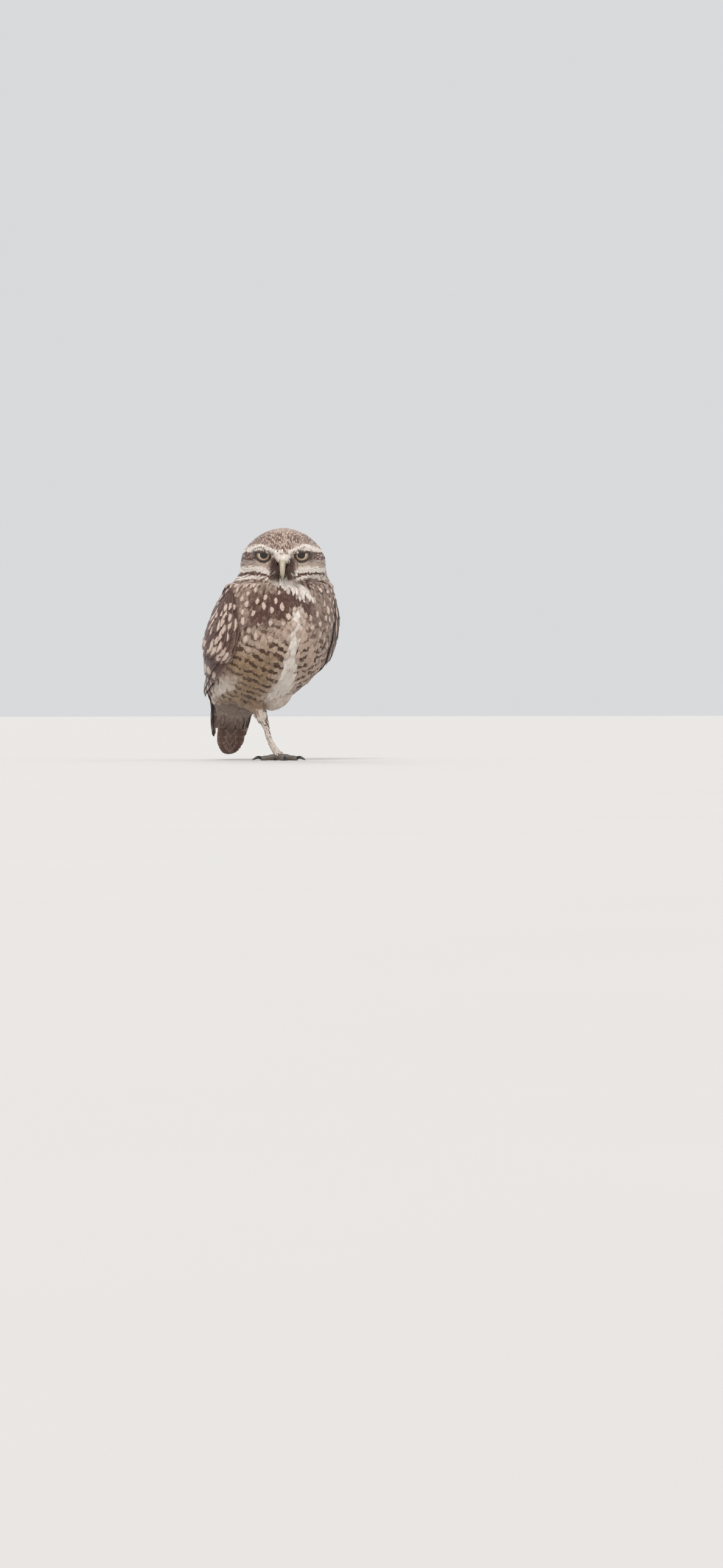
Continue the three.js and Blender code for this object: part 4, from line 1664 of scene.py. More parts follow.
@dataclass(frozen=True)
class Tuft:
    """One group of free feathers on each side of the face, from its upper level to its lower one."""

    count: int
    wide: Pair
    high: Pair
    slant: float
    first: Point
    last: Point
    fan: float
    bend: float
    length: Pair
    half: float
    dark: Pair
    pale: Pair
    edge: float
    faces: Point


TUFTS = (
    # The lores, beside the bill.
    Tuft(600, (3.0, 8.4), (4.0, -13.5), 0.3, (-0.12, -1, -0.35), (0.13, -1, -0.75), 0.72, 0.3,
         (6.5, 5.5), 0.34, (1.0, 0.85), (0, 0.1), 0.18, (0.9, -0.3, 0.5)),
    # The white feathers between the eyes, over the bill's base.
    Tuft(200, (0, 4.6), (9.5, 5.5), 0.3, (0, -0.75, -0.7), (0, -0.75, -1.0), 0.25, -0.05,
         (5.4, 5.4), 0.6, (0.05, 0.05), (0.9, 0.85), -0.3, (0.2, -1, 0.6)),
    # The corners between the eyes and the bill.
    Tuft(620, (7.2, 13.8), (10.0, 0.0), 0.0, (-0.25, -0.5, -0.85), (-0.2, -0.55, -0.85), 0.1, 0.1,
         (2.6, 3.8), 0.4, (0.35, 0.7), (0.45, 0.1), 0.0, (0.5, -0.8, 0.4)),
    # The ridges of the brows, which overhang the upper lids.
    Tuft(620, (9.0, 27.0), (12.0, 9.6), 0.24, (0.1, -0.9, -0.3), (0.1, -0.95, -0.2), 0.25, 0.1,
         (3.8, 3.0), 0.5, (-0.9, 0.85), (1.6, 0.1), 0.0, (0.1, -0.6, 0.9)),
)


@dataclass
class Coat:
    """The small feathers over the skin, in pieces by region."""

    ground: Ground
    markings: Markings
    points: int = 6
    dense: float = 6.0
    spot_apart: float = 7.4
    spot_rise: float = 0.7
    fluff_count: int = 360
    puff_middle: Point = (9.3, 5.2, 61.4)
    puff_size: Point = (12.5, 12.5, 13.3)
    puff_lean: Point = (4.8, -2.5, 0.0)
    head_from: float = 161.0
    breast_from: float = 118.0
    flank_from: float = 80.0
    lids_clear: float = 1.02
    lids_free: float = 1.16
    bill_at: float = -5.4
    bill_half: Pair = (3.6, 6.6)
    hollow_middle: Point = (13, 3, 53)
    hollow_size: Point = (10.5, 13.5, 13)

    def grow(self) -> list[Piece]:
        """Roots the feathers, lays each along the skin and makes the pieces.

        Returns:
            The pieces.
        """
        rng = np.random.default_rng(11)
        g = self.ground
        centres = g.points[g.corners].mean(1)
        spacing = self.markings.read(centres, g.chart, rng).spacing
        roots, normals, maps = g.seeds(spacing, rng, self.dense)
        roots, normals, maps = self.open_places(roots, normals, maps)
        traits = self.markings.read(roots, g.chart, rng)
        count = len(roots)

        def vary(spread: float) -> Array:
            """A factor for each feather, about 1."""
            return 1 + spread * rng.standard_normal(count).clip(-2, 2)

        length = traits.length * vary(0.1)
        yaw = np.radians(8) * rng.standard_normal(count)
        middles, outward = self.lay(roots, normals, length, yaw, traits.lift * vary(0.16))
        stray = rng.normal(0, 1, (count, 3)) * mix(1.4, 0.3, step(158, 164, roots[:, 2]))[:, None]
        seen = self.markings.read(middles[:, 3] + stray, g.chart, rng)
        seen.tint[:, 0] *= vary(0.13)
        _, _, run = g.chart.read(roots)
        half = traits.half * vary(0.1)
        spotted = self.pick_spotted(middles[:, -2], seen.mark[:, 0])
        on_body = spotted * (roots[:, 2] < self.head_from)
        middles = middles + on_body[:, None, None] * outward * self.proud()
        seen.mark[:, 0] *= spotted
        half = half * (1 + 0.3 * on_body)
        seeds = rng.random(count)
        rolls = np.radians(5) * rng.standard_normal(count)
        oval = seen.oval * vary(0.26)
        phases = np.stack([run, length], -1) / self.markings.bar_pitch
        rows = (middles, outward, half, rolls, seen.tint, seen.mark, seeds, oval, phases, maps)
        made = [
            Feathers(name, vane, *(row[some] for row in rows)).piece(slot)
            for name, (some, slot, vane) in self.regions(roots).items()
        ]
        return [*made, self.bristles(rng), self.fluff(rng)]

    def fluff(self, rng: Chance) -> Piece:
        """Makes the loose belly feathers that lie before the drawn-up foot and beside it.

        Args:
            rng: The source of chance.

        Returns:
            The piece.
        """
        count = self.fluff_count
        middle, size = self.puff_middle, self.puff_size
        turn = rng.uniform(-1.9, 1.9, count) + math.atan2(SIGHT[1], SIGHT[0])
        top = rng.uniform(-0.5, 1.2, count)
        f = np.linspace(0, 1, self.points)[None, :]
        drop = top[:, None] + (0.5 + 0.5 * rng.random((count, 1))) * f
        around = turn[:, None] + 0.1 * rng.standard_normal((count, 1)) * f
        ball = np.stack([np.cos(drop) * np.cos(around), np.cos(drop) * np.sin(around), -np.sin(drop)], -1)
        outward = unit(ball / size)
        lift = (0.4 + (0.9 + 1.2 * rng.random((count, 1))) * f) * step(0, 0.35, f)
        middles = middle + ball * size + outward * lift[..., None]
        middles = middles + ball[..., 2:] * self.puff_lean
        roots, _ = self.ground.nearest(middles[:, 0])
        traits = self.markings.read(roots, self.ground.chart, rng)
        tint = np.tile([0.0, 0.6, 0.2], (count, 1)) * (1 + 0.2 * rng.standard_normal((count, 1)))
        return Feathers(
            "belly_fluff", SOFT, middles, outward, 2.3 * (1 + 0.1 * rng.standard_normal(count)),
            np.zeros(count), tint, 0 * traits.mark, rng.random(count), traits.oval, np.zeros((count, 2)),
            np.stack([0.5 + 0.02 * turn, 0.5 + 0.02 * top], -1),
        ).piece("breast")

    def proud(self) -> Array:
        """How much a spotted feather stands over its neighbours, along it."""
        return (self.spot_rise * step(0.25, 0.7, np.linspace(0, 1, self.points)))[None, :, None]

    def pick_spotted(self, tips: Array, wish: Array) -> Array:
        """Picks the body feathers that carry a pale spot, well apart, and every one of the head's.

        Args:
            tips: Places near the feathers' tips.
            wish: How strong a spot each place asks for.

        Returns:
            1 for each feather with a spot, else 0.
        """
        picked = (wish > 0) & (tips[:, 2] > 158)
        tree = search_tree(tips)
        free = (wish > 0.25) & ~picked
        for i in np.flatnonzero(free):
            if free[i]:
                picked[i] = True
                apart = self.spot_apart * (1.25 if wish[i] < 0.85 else 1.0)
                for _, j, _ in tree.find_range(tips[i].tolist(), apart):
                    free[j] = False
        return picked.astype(float)

    def bristles(self, rng: Chance) -> Piece:
        """Makes the face's free feathers, which hide the bill's base and the lids' edges.

        Args:
            rng: The source of chance.

        Returns:
            The piece.
        """
        rows = [self.tuft(tuft, rng) for tuft in TUFTS]
        middles, outward, half, tint = (np.concatenate([row[k] for row in rows]) for k in range(4))
        count = len(half)
        return Feathers(
            "face_bristles", BRISTLE, middles, outward, half, np.zeros(count), tint, np.zeros((count, 3)),
            rng.random(count), np.full(count, 0.2), np.zeros((count, 2)),
            0.5 + 0.2 * (HEAD.inward(middles[:, 0])[:, ::2] / 40),
        ).piece("crown")

    def tuft(self, tuft: Tuft, rng: Chance) -> tuple[Array, Array, Array, Array]:
        """Lays out one tuft's feathers.

        Args:
            tuft: The tuft.
            rng: The source of chance.

        Returns:
            The middle lines, the directions outwards, the half widths and the tints.
        """
        count = tuft.count
        side = np.where(rng.random(count) < 0.5, -1.0, 1.0)
        level, out = rng.random(count), rng.random(count)
        wide = mix(*tuft.wide, out)
        high = mix(*tuft.high, level) + tuft.slant * np.minimum(wide - tuft.wide[0], 8)
        start = np.stack([side * wide, -31 + 0.3 * wide, high], -1)
        roots, _ = self.ground.nearest(HEAD.outward(start))
        length = mix(*tuft.length, level) * (1 + 0.15 * rng.standard_normal(count).clip(-2, 2))
        aim = mix(np.array(tuft.first), np.array(tuft.last), level[:, None])
        aim[:, 0] = side * (aim[:, 0] + tuft.fan * out)
        aim = unit(aim + 0.12 * rng.standard_normal((count, 3)))
        bend = np.stack([side * 0.1 * out, np.full(count, tuft.bend), np.full(count, -0.45)], -1)
        f = np.linspace(0, 1, self.points)[None, :, None]
        run = length[:, None, None] * f
        h = HEAD.inward(roots)[:, None, :]
        middles = HEAD.outward(h + aim[:, None, :] * run + bend[:, None, :] * run * f)
        beside = np.array(tuft.faces) * np.stack([side, side**2, side**2], -1) @ HEAD.rotation().T
        tangents = unit(np.gradient(middles, axis=1))
        outward = flatten(np.repeat(beside[:, None, :], self.points, axis=1), tangents)
        tint = np.stack([mix(*tuft.dark, level), mix(*tuft.pale, level), 0.1 + 0 * level], -1)
        tint = np.clip(tint + tuft.edge * out[:, None] * np.array([-1, 1, 0]), 0, 1)
        edge = [HEAD.past_lids(s, middles.reshape(-1, 3)) for s in SIDES.values()]
        clear = np.min(edge, axis=0).reshape(count, -1).min(1) > self.lids_clear
        return middles[clear], outward[clear], np.full(clear.sum(), tuft.half), tint[clear]

    def regions(self, roots: Array) -> dict[str, tuple[Array, str, Vane]]:
        """Parts the coat into pieces.

        Args:
            roots: Where the feathers are rooted.

        Returns:
            For each piece's name which roots it has, its slot and its kind of feather.
        """
        z = roots[:, 2]
        head = z > self.head_from
        face = head & (HEAD.inward(roots)[:, 1] < -4)
        leg = (LEG.read(roots)[0] > 0.5) & ~head
        _, angle, _ = self.ground.chart.read(roots)
        back = ~head & ~leg & (np.abs(angle) > 96)
        front = ~head & ~leg & ~back
        breast, belly = z > self.breast_from, z <= self.flank_from
        return {
            "coat_face": (face, "crown", SHORT),
            "coat_crown": (head & ~face, "crown", CROWN),
            "coat_leg": (leg, "leg", SHANK),
            "coat_back": (back, "wing", SOFT),
            "coat_breast": (front & breast, "breast", SOFT),
            "coat_flank": (front & ~breast & ~belly, "breast", SOFT),
            "coat_belly": (front & belly, "breast", SOFT),
        }

    def open_places(self, *rows: Array) -> list[Array]:
        """Leaves out roots in the eyes' openings, the bill's seat and the drawn-up foot's hollow.

        Args:
            *rows: The roots, the directions out of the skin and their places on the unwrap.

        Returns:
            The same rows without them.
        """
        h = HEAD.inward(rows[0])
        keep = np.ones(len(h), bool)
        for side in SIDES.values():
            ahead = HEAD.into_eye(side, rows[0])[:, 1] > 0
            keep &= ~((HEAD.past_lids(side, rows[0]) < self.lids_free) & ahead)
        wide, tall = self.bill_half
        bill = np.hypot(h[:, 0] / wide, (h[:, 2] - self.bill_at) / tall)
        keep &= ~((bill < 1) & (h[:, 1] < -15))
        along, across = WING.read(*self.ground.chart.read(rows[0])[:2])
        under = (along > 0.05) & (along < 0.93) & (across > 0.06) & (across < 0.93)
        keep &= ~(under & (rows[0][:, 2] < 160))
        hollow = (rows[0] - self.hollow_middle) / self.hollow_size
        keep &= np.linalg.norm(hollow, axis=1) > 1.05
        keep &= ~((rows[0][:, 2] > 158) & (rows[1][:, 2] < -0.8))
        keep &= rows[0][:, 2] > 6
        return [row[keep] for row in rows]

    def lay(
        self, roots: Array, normals: Array, length: Array, yaw: Array, lift: Array
    ) -> tuple[Array, Array]:
        """Leads each feather's middle line over the skin, rising from its root.

        Args:
            roots: Where the feathers are rooted.
            normals: The directions out of the skin there.
            length: The feathers' lengths.
            yaw: How far each turns from the lie, in radians.
            lift: How high each tip stands over the skin.

        Returns:
            The middle lines and the directions out of the skin along them.
        """
        place, normal = roots, normals
        lines, outs = [roots], [normals]
        for _ in range(self.points - 1):
            along = self.ground.lie(place, normal)
            side = np.cross(normal, along)
            along = along * np.cos(yaw)[:, None] + side * np.sin(yaw)[:, None]
            place, normal = self.ground.nearest(place + along * (length / (self.points - 1))[:, None])
            lines.append(place)
            outs.append(normal)
        middles, outward = np.stack(lines, 1), unit(np.stack(outs, 1))
        outward[:, 1:-1] = unit(outward[:, :-2] + outward[:, 1:-1] + outward[:, 2:])
        share = np.linspace(0, 1, self.points)
        rise = lift[:, None] * (share**0.75 - 0.3 * step(0.7, 1.05, share))[None, :]
        return middles + outward * rise[..., None], outward


# The owl's parts


def wing_place(side: str, along: Array, across: Array, up: Array, more: Array) -> tuple[Array, Array]:
    """Points of a wing, and the directions out of it there.

    Args:
        side: "right" or "left".
        along: Places from the shoulder (0) to the tips (1).
        across: Places from the front edge (0) to the back one (1).
        up: Height from the body (0) to the wing's outside (1).
        more: Millimetres added to the height.

    Returns:
        The points and the directions.
    """
    near = 0.01

    def at(s: Array, w: Array, rise: float = 0.0) -> Array:
        """Points at places along and across, raised a little."""
        return WING.at(side, s, w, up, more + rise)

    middle = at(along, across)
    down = at(along + near, across) - at(along - near, across)
    aside = at(along, across + near) - at(along, across - near)
    out = unit(np.cross(aside, down))
    return middle, out * np.sign(np.sum(out * (at(along, across, 1) - middle), -1, keepdims=True))


@dataclass(frozen=True)
class Tier:
    """One kind of feather of the wing: where its rows are rooted, where they end and how they look.

    A tier of one line fans out across the wing. One of more lines is a grid of them.
    """

    name: str
    lines: int
    count: int
    root_along: Pair
    root_across: Pair
    tip_along: Pair
    tip_across: Pair
    half: float
    height: Pair
    vane: Vane
    tint: Point
    mark: Point = (0, 0, 0)
    spotted: float = 0.6
    oval: float = 0.14
    sink: float = 0.0


DARK = (0.98, 0.0, 0.05)
BROWN = (0.97, 0.0, 0.1)


@dataclass(frozen=True)
class Wings:
    """The two folded wings, tier over tier, with the body's soft feathers laid over their edges."""

    chart: Chart
    markings: Markings
    points: int = 9
    tiers: tuple[Tier, ...] = (
        Tier("primaries", 1, 7, (0.42, 0.52), (0.18, 0.5), (1.0, 0.84), (0.22, 0.74), 4.8,
             (0.12, 0.5), QUILL, DARK, (0, 0, 0.85)),
        Tier("secondaries", 1, 9, (0.34, 0.4), (0.12, 0.96), (0.66, 0.82), (0.1, 0.9), 5.6,
             (0.4, 0.68), QUILL, BROWN, (0, 0, 0.8)),
        Tier("greater", 1, 11, (0.23, 0.28), (0.05, 0.96), (0.46, 0.57), (0.05, 0.92), 5.0,
             (0.64, 0.84), COVERT, BROWN, (1, 0, 0), 0.8, 0.12),
        Tier("median", 1, 13, (0.14, 0.19), (0.03, 0.97), (0.33, 0.41), (0.03, 0.96), 4.3,
             (0.78, 0.94), COVERT, BROWN, (1, 0, 0), 0.78, 0.15),
        Tier("lesser", 7, 12, (0.035, 0.2), (0.02, 0.98), (0.13, 0.31), (0.02, 0.98), 3.4,
             (0.84, 1.0), COVERT, BROWN, (1, 0, 0), 0.6, 0.21, 0.8),
        Tier("scapulars", 12, 4, (0.03, 0.37), (0.76, 1.04), (0.17, 0.56), (0.8, 1.06), 3.9,
             (0.93, 1.06), COVERT, BROWN, (1, 0, 0), 0.6, 0.15, 1.3),
    )

    def feather_rows(self, side: str, tier: Tier, rng: Chance) -> Feathers:
        """Lays out one tier's feathers, each led over the wing's own surface.

        Args:
            side: "right" or "left".
            tier: The tier.
            rng: The source of chance.

        Returns:
            The feathers.
        """
        if tier.lines == 1:
            across = along = np.linspace(0, 1, tier.count)
            order = across
        else:
            line, place = (g.ravel() for g in np.meshgrid(np.arange(tier.lines), np.arange(tier.count)))
            along = line / (tier.lines - 1)
            across = (place + 0.5 * (line % 2)) / (tier.count - 0.5)
            order = 1 - along
        count = len(across)

        def wild(size: float) -> Array:
            """A small amount for each feather, to either side of nothing."""
            return size * rng.standard_normal(count).clip(-2, 2)

        root_s = mix(*tier.root_along, along) + wild(0.008)
        root_w = mix(*tier.root_across, across) + wild(0.015)
        tip_s = mix(*tier.tip_along, along) + wild(0.01)
        tip_w = mix(*tier.tip_across, across) + wild(0.015)
        f = np.linspace(0, 1, self.points)[None, :]
        s = mix(root_s[:, None], tip_s[:, None], f)
        w = mix(root_w[:, None], tip_w[:, None], f**0.9)
        level = mix(tier.height[0], tier.height[1], f) + 0.06 * order[:, None]
        more = 0.3 * np.arange(count)[:, None] / count + wild(0.12)[:, None] - tier.sink * (1 - f) ** 0.8
        middles, normals = wing_place(side, s, w, level * WING.arch(w), more)
        spotted = np.where(rng.random(count) < tier.spotted, 1.0, 0.0)[:, None]
        oval = tier.oval * (1 + wild(0.15))
        mark = np.array(tier.mark) * (np.ones((count, 1)) if tier.mark[2] else spotted)
        tint = np.array(tier.tint) + wild(0.1)[:, None] * np.array([1, 0, 0])
        _, _, run = self.chart.read(middles[:, 0])
        phases = np.stack([run, np.linalg.norm(middles[:, -1] - middles[:, 0], axis=1)], -1)
        return Feathers(
            f"{tier.name}_{side}", tier.vane, middles, normals, tier.half * (1 + wild(0.06)),
            np.radians(wild(3.0)), tint, mark, rng.random(count), oval,
            phases / self.markings.bar_pitch, np.stack([0.1 + 0.7 * root_w, 0.2 + 0.7 * root_s], -1),
        )

    def build(self) -> list[Piece]:
        """Makes both wings.

        Returns:
            The pieces.
        """
        made = []
        for k, side in enumerate(SIDES):
            rng = np.random.default_rng(40 + k)
            for tier in self.tiers:
                made.append(self.feather_rows(side, tier, rng).piece("wing"))
        return made


@dataclass(frozen=True)
class Tail:
    """Twelve short tail feathers, the middle pair on top, with coverts over and under their roots."""

    pairs: int = 6
    half: float = 5.4
    root: float = 7.2
    root_fan: float = 9.0
    tip_fan: float = 10.5
    points: int = 9
    quill_tint: Point = (0.76, 0.02, 0.0)
    quill_mark: Point = (0.0, 0.0, 0.2)
    covert_rows: Row = (6.0, 6.25, 6.5, 6.75, 7.0, 7.25)
    covert_turn: float = 18.0
    covert_half: float = 3.4

    def back(self, station: Array) -> tuple[Array, Array]:
        """The tail's middle line and the direction to its upper side."""
        top, under = BODY.at(station, 180.0 + 0 * station), BODY.at(station, 0 * station)
        return (top + under) / 2, unit(BODY.at(station, 180.0 + 0 * station, 1.0) - top)

    def feathers(self, rng: Chance) -> Feathers:
        """Lays out the tail feathers.

        Args:
            rng: The source of chance.

        Returns:
            The feathers.
        """
        k = np.repeat(np.arange(self.pairs), 2)
        out = (k + 0.5) / self.pairs
        side = np.tile([-1.0, 1.0], self.pairs)
        f = np.linspace(0, 1, self.points)[None, :]
        tip = 10 - 0.9 * out**2
        station = mix(self.root, tip[:, None], f)
        middle, upper = self.back(station)
        fan = mix(self.root_fan, self.tip_fan, f) * (side * out)[:, None]
        rise = mix((1.7 - 0.36 * k)[:, None], (1.6 - 0.5 * k)[:, None], f) + 0.12 * side[:, None]
        middle = middle + upper * rise[..., None]
        middle[..., 0] += fan
        count = len(k)
        return Feathers(
            "rectrices", QUILL, middle, upper, np.full(count, self.half),
            np.radians(-3.0 * side * out), np.tile(self.quill_tint, (count, 1)),
            np.tile(self.quill_mark, (count, 1)), rng.random(count), np.full(count, 0.2),
            np.zeros((count, 2)), np.stack([0.5 + 0.4 * side * out, 0 * out + 0.3], -1),
        )

    def coverts(self, rng: Chance) -> Feathers:
        """Lays out the rows of soft feathers that close the tail's root, above and below.

        Args:
            rng: The source of chance.

        Returns:
            The feathers.
        """
        angles = np.arange(-180, 180, self.covert_turn)
        t0, a0 = (g.ravel() for g in np.meshgrid(np.array(self.covert_rows), angles))
        a0 = a0 + rng.normal(0, 4, len(a0))
        f = np.linspace(0, 1, self.points)[None, :]
        station = t0[:, None] + mix(1.0, 0.85, step(80, 110, np.abs(a0)))[:, None] * f
        angle = a0[:, None] + 0 * f
        lift = mix(-1.6, 0.4, f) - 0.4 * (t0[:, None] - 6.2)
        points = BODY.at(station, angle, lift)
        normals = unit(BODY.at(station, angle, lift + 1) - points)
        count = len(a0)
        above = step(70, 110, np.abs(a0))
        spots = np.where(rng.random(count) < 0.4, 1.0, 0.0) * above
        # The under coverts are tinted dark, more so towards the tail: partly painted shade of the
        # underside, over their buff colour.
        late = step(6.4, 7.2, t0)
        tint = np.stack([mix(0.55 + 0.25 * late, 0.8, above), 0.25 * (1 - above), 0.5 - 0.3 * late], -1)
        return Feathers(
            "tail_coverts", SOFT, points, normals, self.covert_half * (1 + rng.normal(0, 0.08, count)),
            np.radians(rng.normal(0, 4, count)), tint, np.stack([spots, 0 * spots, 0 * spots], -1),
            rng.random(count), np.full(count, 0.2), np.zeros((count, 2)),
            np.stack([0.5 + a0 / 400, 0.55 + (t0 - 6) / 5], -1),
        )

    def build(self) -> list[Piece]:
        """Makes the tail."""
        rng = np.random.default_rng(50)
        return [self.feathers(rng).piece("tail", "tail"), self.coverts(rng).piece("tail")]


@dataclass(frozen=True)
class Eyes:
    """Two large eyes under flat brows, each with lids of bare skin round its opening."""

    skin: float = 0.75
    sunk: float = 0.45
    outer_share: float = 0.65
    reach: float = 1.4
    crowding: float = 0.35

    def ball(self, name: str, side: float) -> Piece:
        """Makes one eyeball, with the distance from its own axis at each point.

        Args:
            name: The eye's name.
            side: -1 for the right eye, 1 for the left.

        Returns:
            The piece.
        """
        bpy.ops.mesh.primitive_uv_sphere_add(segments=96, ring_count=72, radius=HEAD.eye_radius)
        obj = bpy.context.object
        obj.name = f"{name}_ball"
        places = np.array([v.co[:] for v in obj.data.vertices])
        away = np.hypot(places[:, 0], places[:, 1])
        away = np.where(places[:, 2] > 0, away, HEAD.eye_radius)
        set_places(obj, HEAD.from_eye(side, places[:, (0, 2, 1)]))
        obj.data.flip_normals()
        put_attribute(obj.data, "ring", away)
        bpy.ops.object.shade_smooth()
        return obj

    def lids(self, name: str, side: float) -> Piece:
        """Makes the lids: a rounded rim round the opening and a thin shell back over the eyeball.

        Args:
            name: The eye's name.
            side: -1 for the right eye, 1 for the left.

        Returns:
            The piece.
        """
        radius = HEAD.eye_radius

        def shape(along: Array, turn: Array) -> Array:
            """Points from the rim's inner edge, round the rim, out over the ball and back under it.

            Args:
                along: Places on that way, from 0 to 1.
                turn: Turns round the eye's axis, in radians.

            Returns:
                The points, one row each.
            """
            turn = turn - self.crowding * np.sin(2 * turn)
            c, s = np.cos(turn), np.sin(turn)
            start = np.arcsin(HEAD.opening(side, c, s) / radius)
            outer = np.clip(along / self.outer_share, 0, 1)
            inner = np.clip((along - self.outer_share) / (1 - self.outer_share), 0, 1)
            rim = -self.sunk + (self.skin + self.sunk) * np.sin(np.minimum(outer * 7, math.pi / 2))
            rim = rim - 0.5 * step(0.3, 0.9, outer)
            rim = radius + mix(rim, -self.sunk, step(0, 0.25, inner))
            polar = start + (self.reach - start) * (outer * (1 - inner)) ** 1.3
            flat = rim * np.sin(polar)
            return HEAD.from_eye(side, np.stack([flat * c, rim * np.cos(polar), flat * s], -1))

        return sleeve(f"{name}_lids", 36, 96, shape)

    def build(self) -> list[Piece]:
        """Makes both eyes with their lids.

        Returns:
            The pieces.
        """
        wet, skin = EyeFinish().make(), BareSkinFinish().make()
        made = []
        for name, side in SIDES.items():
            ball = self.ball(f"eye_{name}", side)
            settle(ball, wet, "eye", f"eye_{name}")
            lids = self.lids(f"eye_{name}", side)
            settle(lids, skin, "eye")
            made += [ball, lids]
        return made


@dataclass(frozen=True)
class Bill:
    """The hooked bill with its nostrils, in the head's frame."""

    upper: tuple[Point, ...] = (
        (0, -27, -0.5), (0, -31.6, -0.8), (0, -35.8, -4.4), (0, -37.3, -10), (0, -35.6, -15.6),
    )
    upper_radii: Row = (3.1, 3.3, 2.9, 2.1, 0.32)
    lower: tuple[Point, ...] = ((0, -26, -9), (0, -30, -10.5), (0, -33.2, -13))
    lower_radii: Row = (3.4, 3, 1)
    nostril: Point = (3.0, -33.4, -0.6)
    nostril_radius: float = 1.3
    nostril_depth: float = 2.0
    cere_height: float = 0.9
    cere_reach: float = 2.6
    plain_shade: float = 0.35

    def build(self) -> list[Piece]:
        """Makes the upper and the lower bill.

        Returns:
            The pieces.
        """
        horn = HornFinish("bill_horn", "#b8ab94", "#4d443a").make()
        guide = (0.0, -1.0, 1.0)
        top = Tube(np.array(self.upper), self.upper_radii, (1.25, 1.3, 1.5, 1.4, 1.0), guide=guide)
        low = Tube(np.array(self.lower), self.lower_radii, (0.7, 0.7), guide=guide)
        upper = top.piece("bill_upper_horn", 90, 56, HEAD.outward)
        lower = low.piece("bill_lower_horn", 40, 36, HEAD.outward)
        self.pierce(upper)
        for obj, node in ((upper, "bill_upper"), (lower, "bill_lower")):
            if "shade" not in obj.data.attributes:
                put_attribute(obj.data, "shade", np.full(len(obj.data.vertices), self.plain_shade))
            settle(obj, horn, "bill", node)
        return [upper, lower]

    def pierce(self, obj: Piece) -> None:
        """Swells the cere, sinks the nostrils into it, darkens the bill's sides away from its tip and
        paints shade into the nostrils.

        Args:
            obj: The upper bill.
        """
        points = HEAD.inward(read_places(obj))
        shade = 0.1 + 0.8 * step(1.6, 3.0, np.abs(points[:, 0])) * step(-15, -7, points[:, 2])
        for side in SIDES.values():
            mouth = np.array(self.nostril) * np.array([side, 1, 1])
            away = np.linalg.norm(points - mouth, axis=1)
            swell = np.exp(-((away / self.cere_reach) ** 2)) * self.cere_height
            sink = step(self.nostril_radius, 0.45, away) * self.nostril_depth
            points += np.array([side * 0.8, -0.6, 0.0]) * (swell - sink)[:, None]
            # Each nostril's pit and its edge are darkened: painted shade in the hollow.
            shade = np.maximum(shade, step(self.nostril_radius + 0.2, 0.6, away))
        set_places(obj, HEAD.outward(points))
        put_attribute(obj.data, "shade", shade)


@dataclass(frozen=True)
class Toe:
    """One toe with its claw: its turn from the foot's front, its length and its radii."""

    name: str
    turn: float
    length: float
    radii: Row
    bumps: int = 3


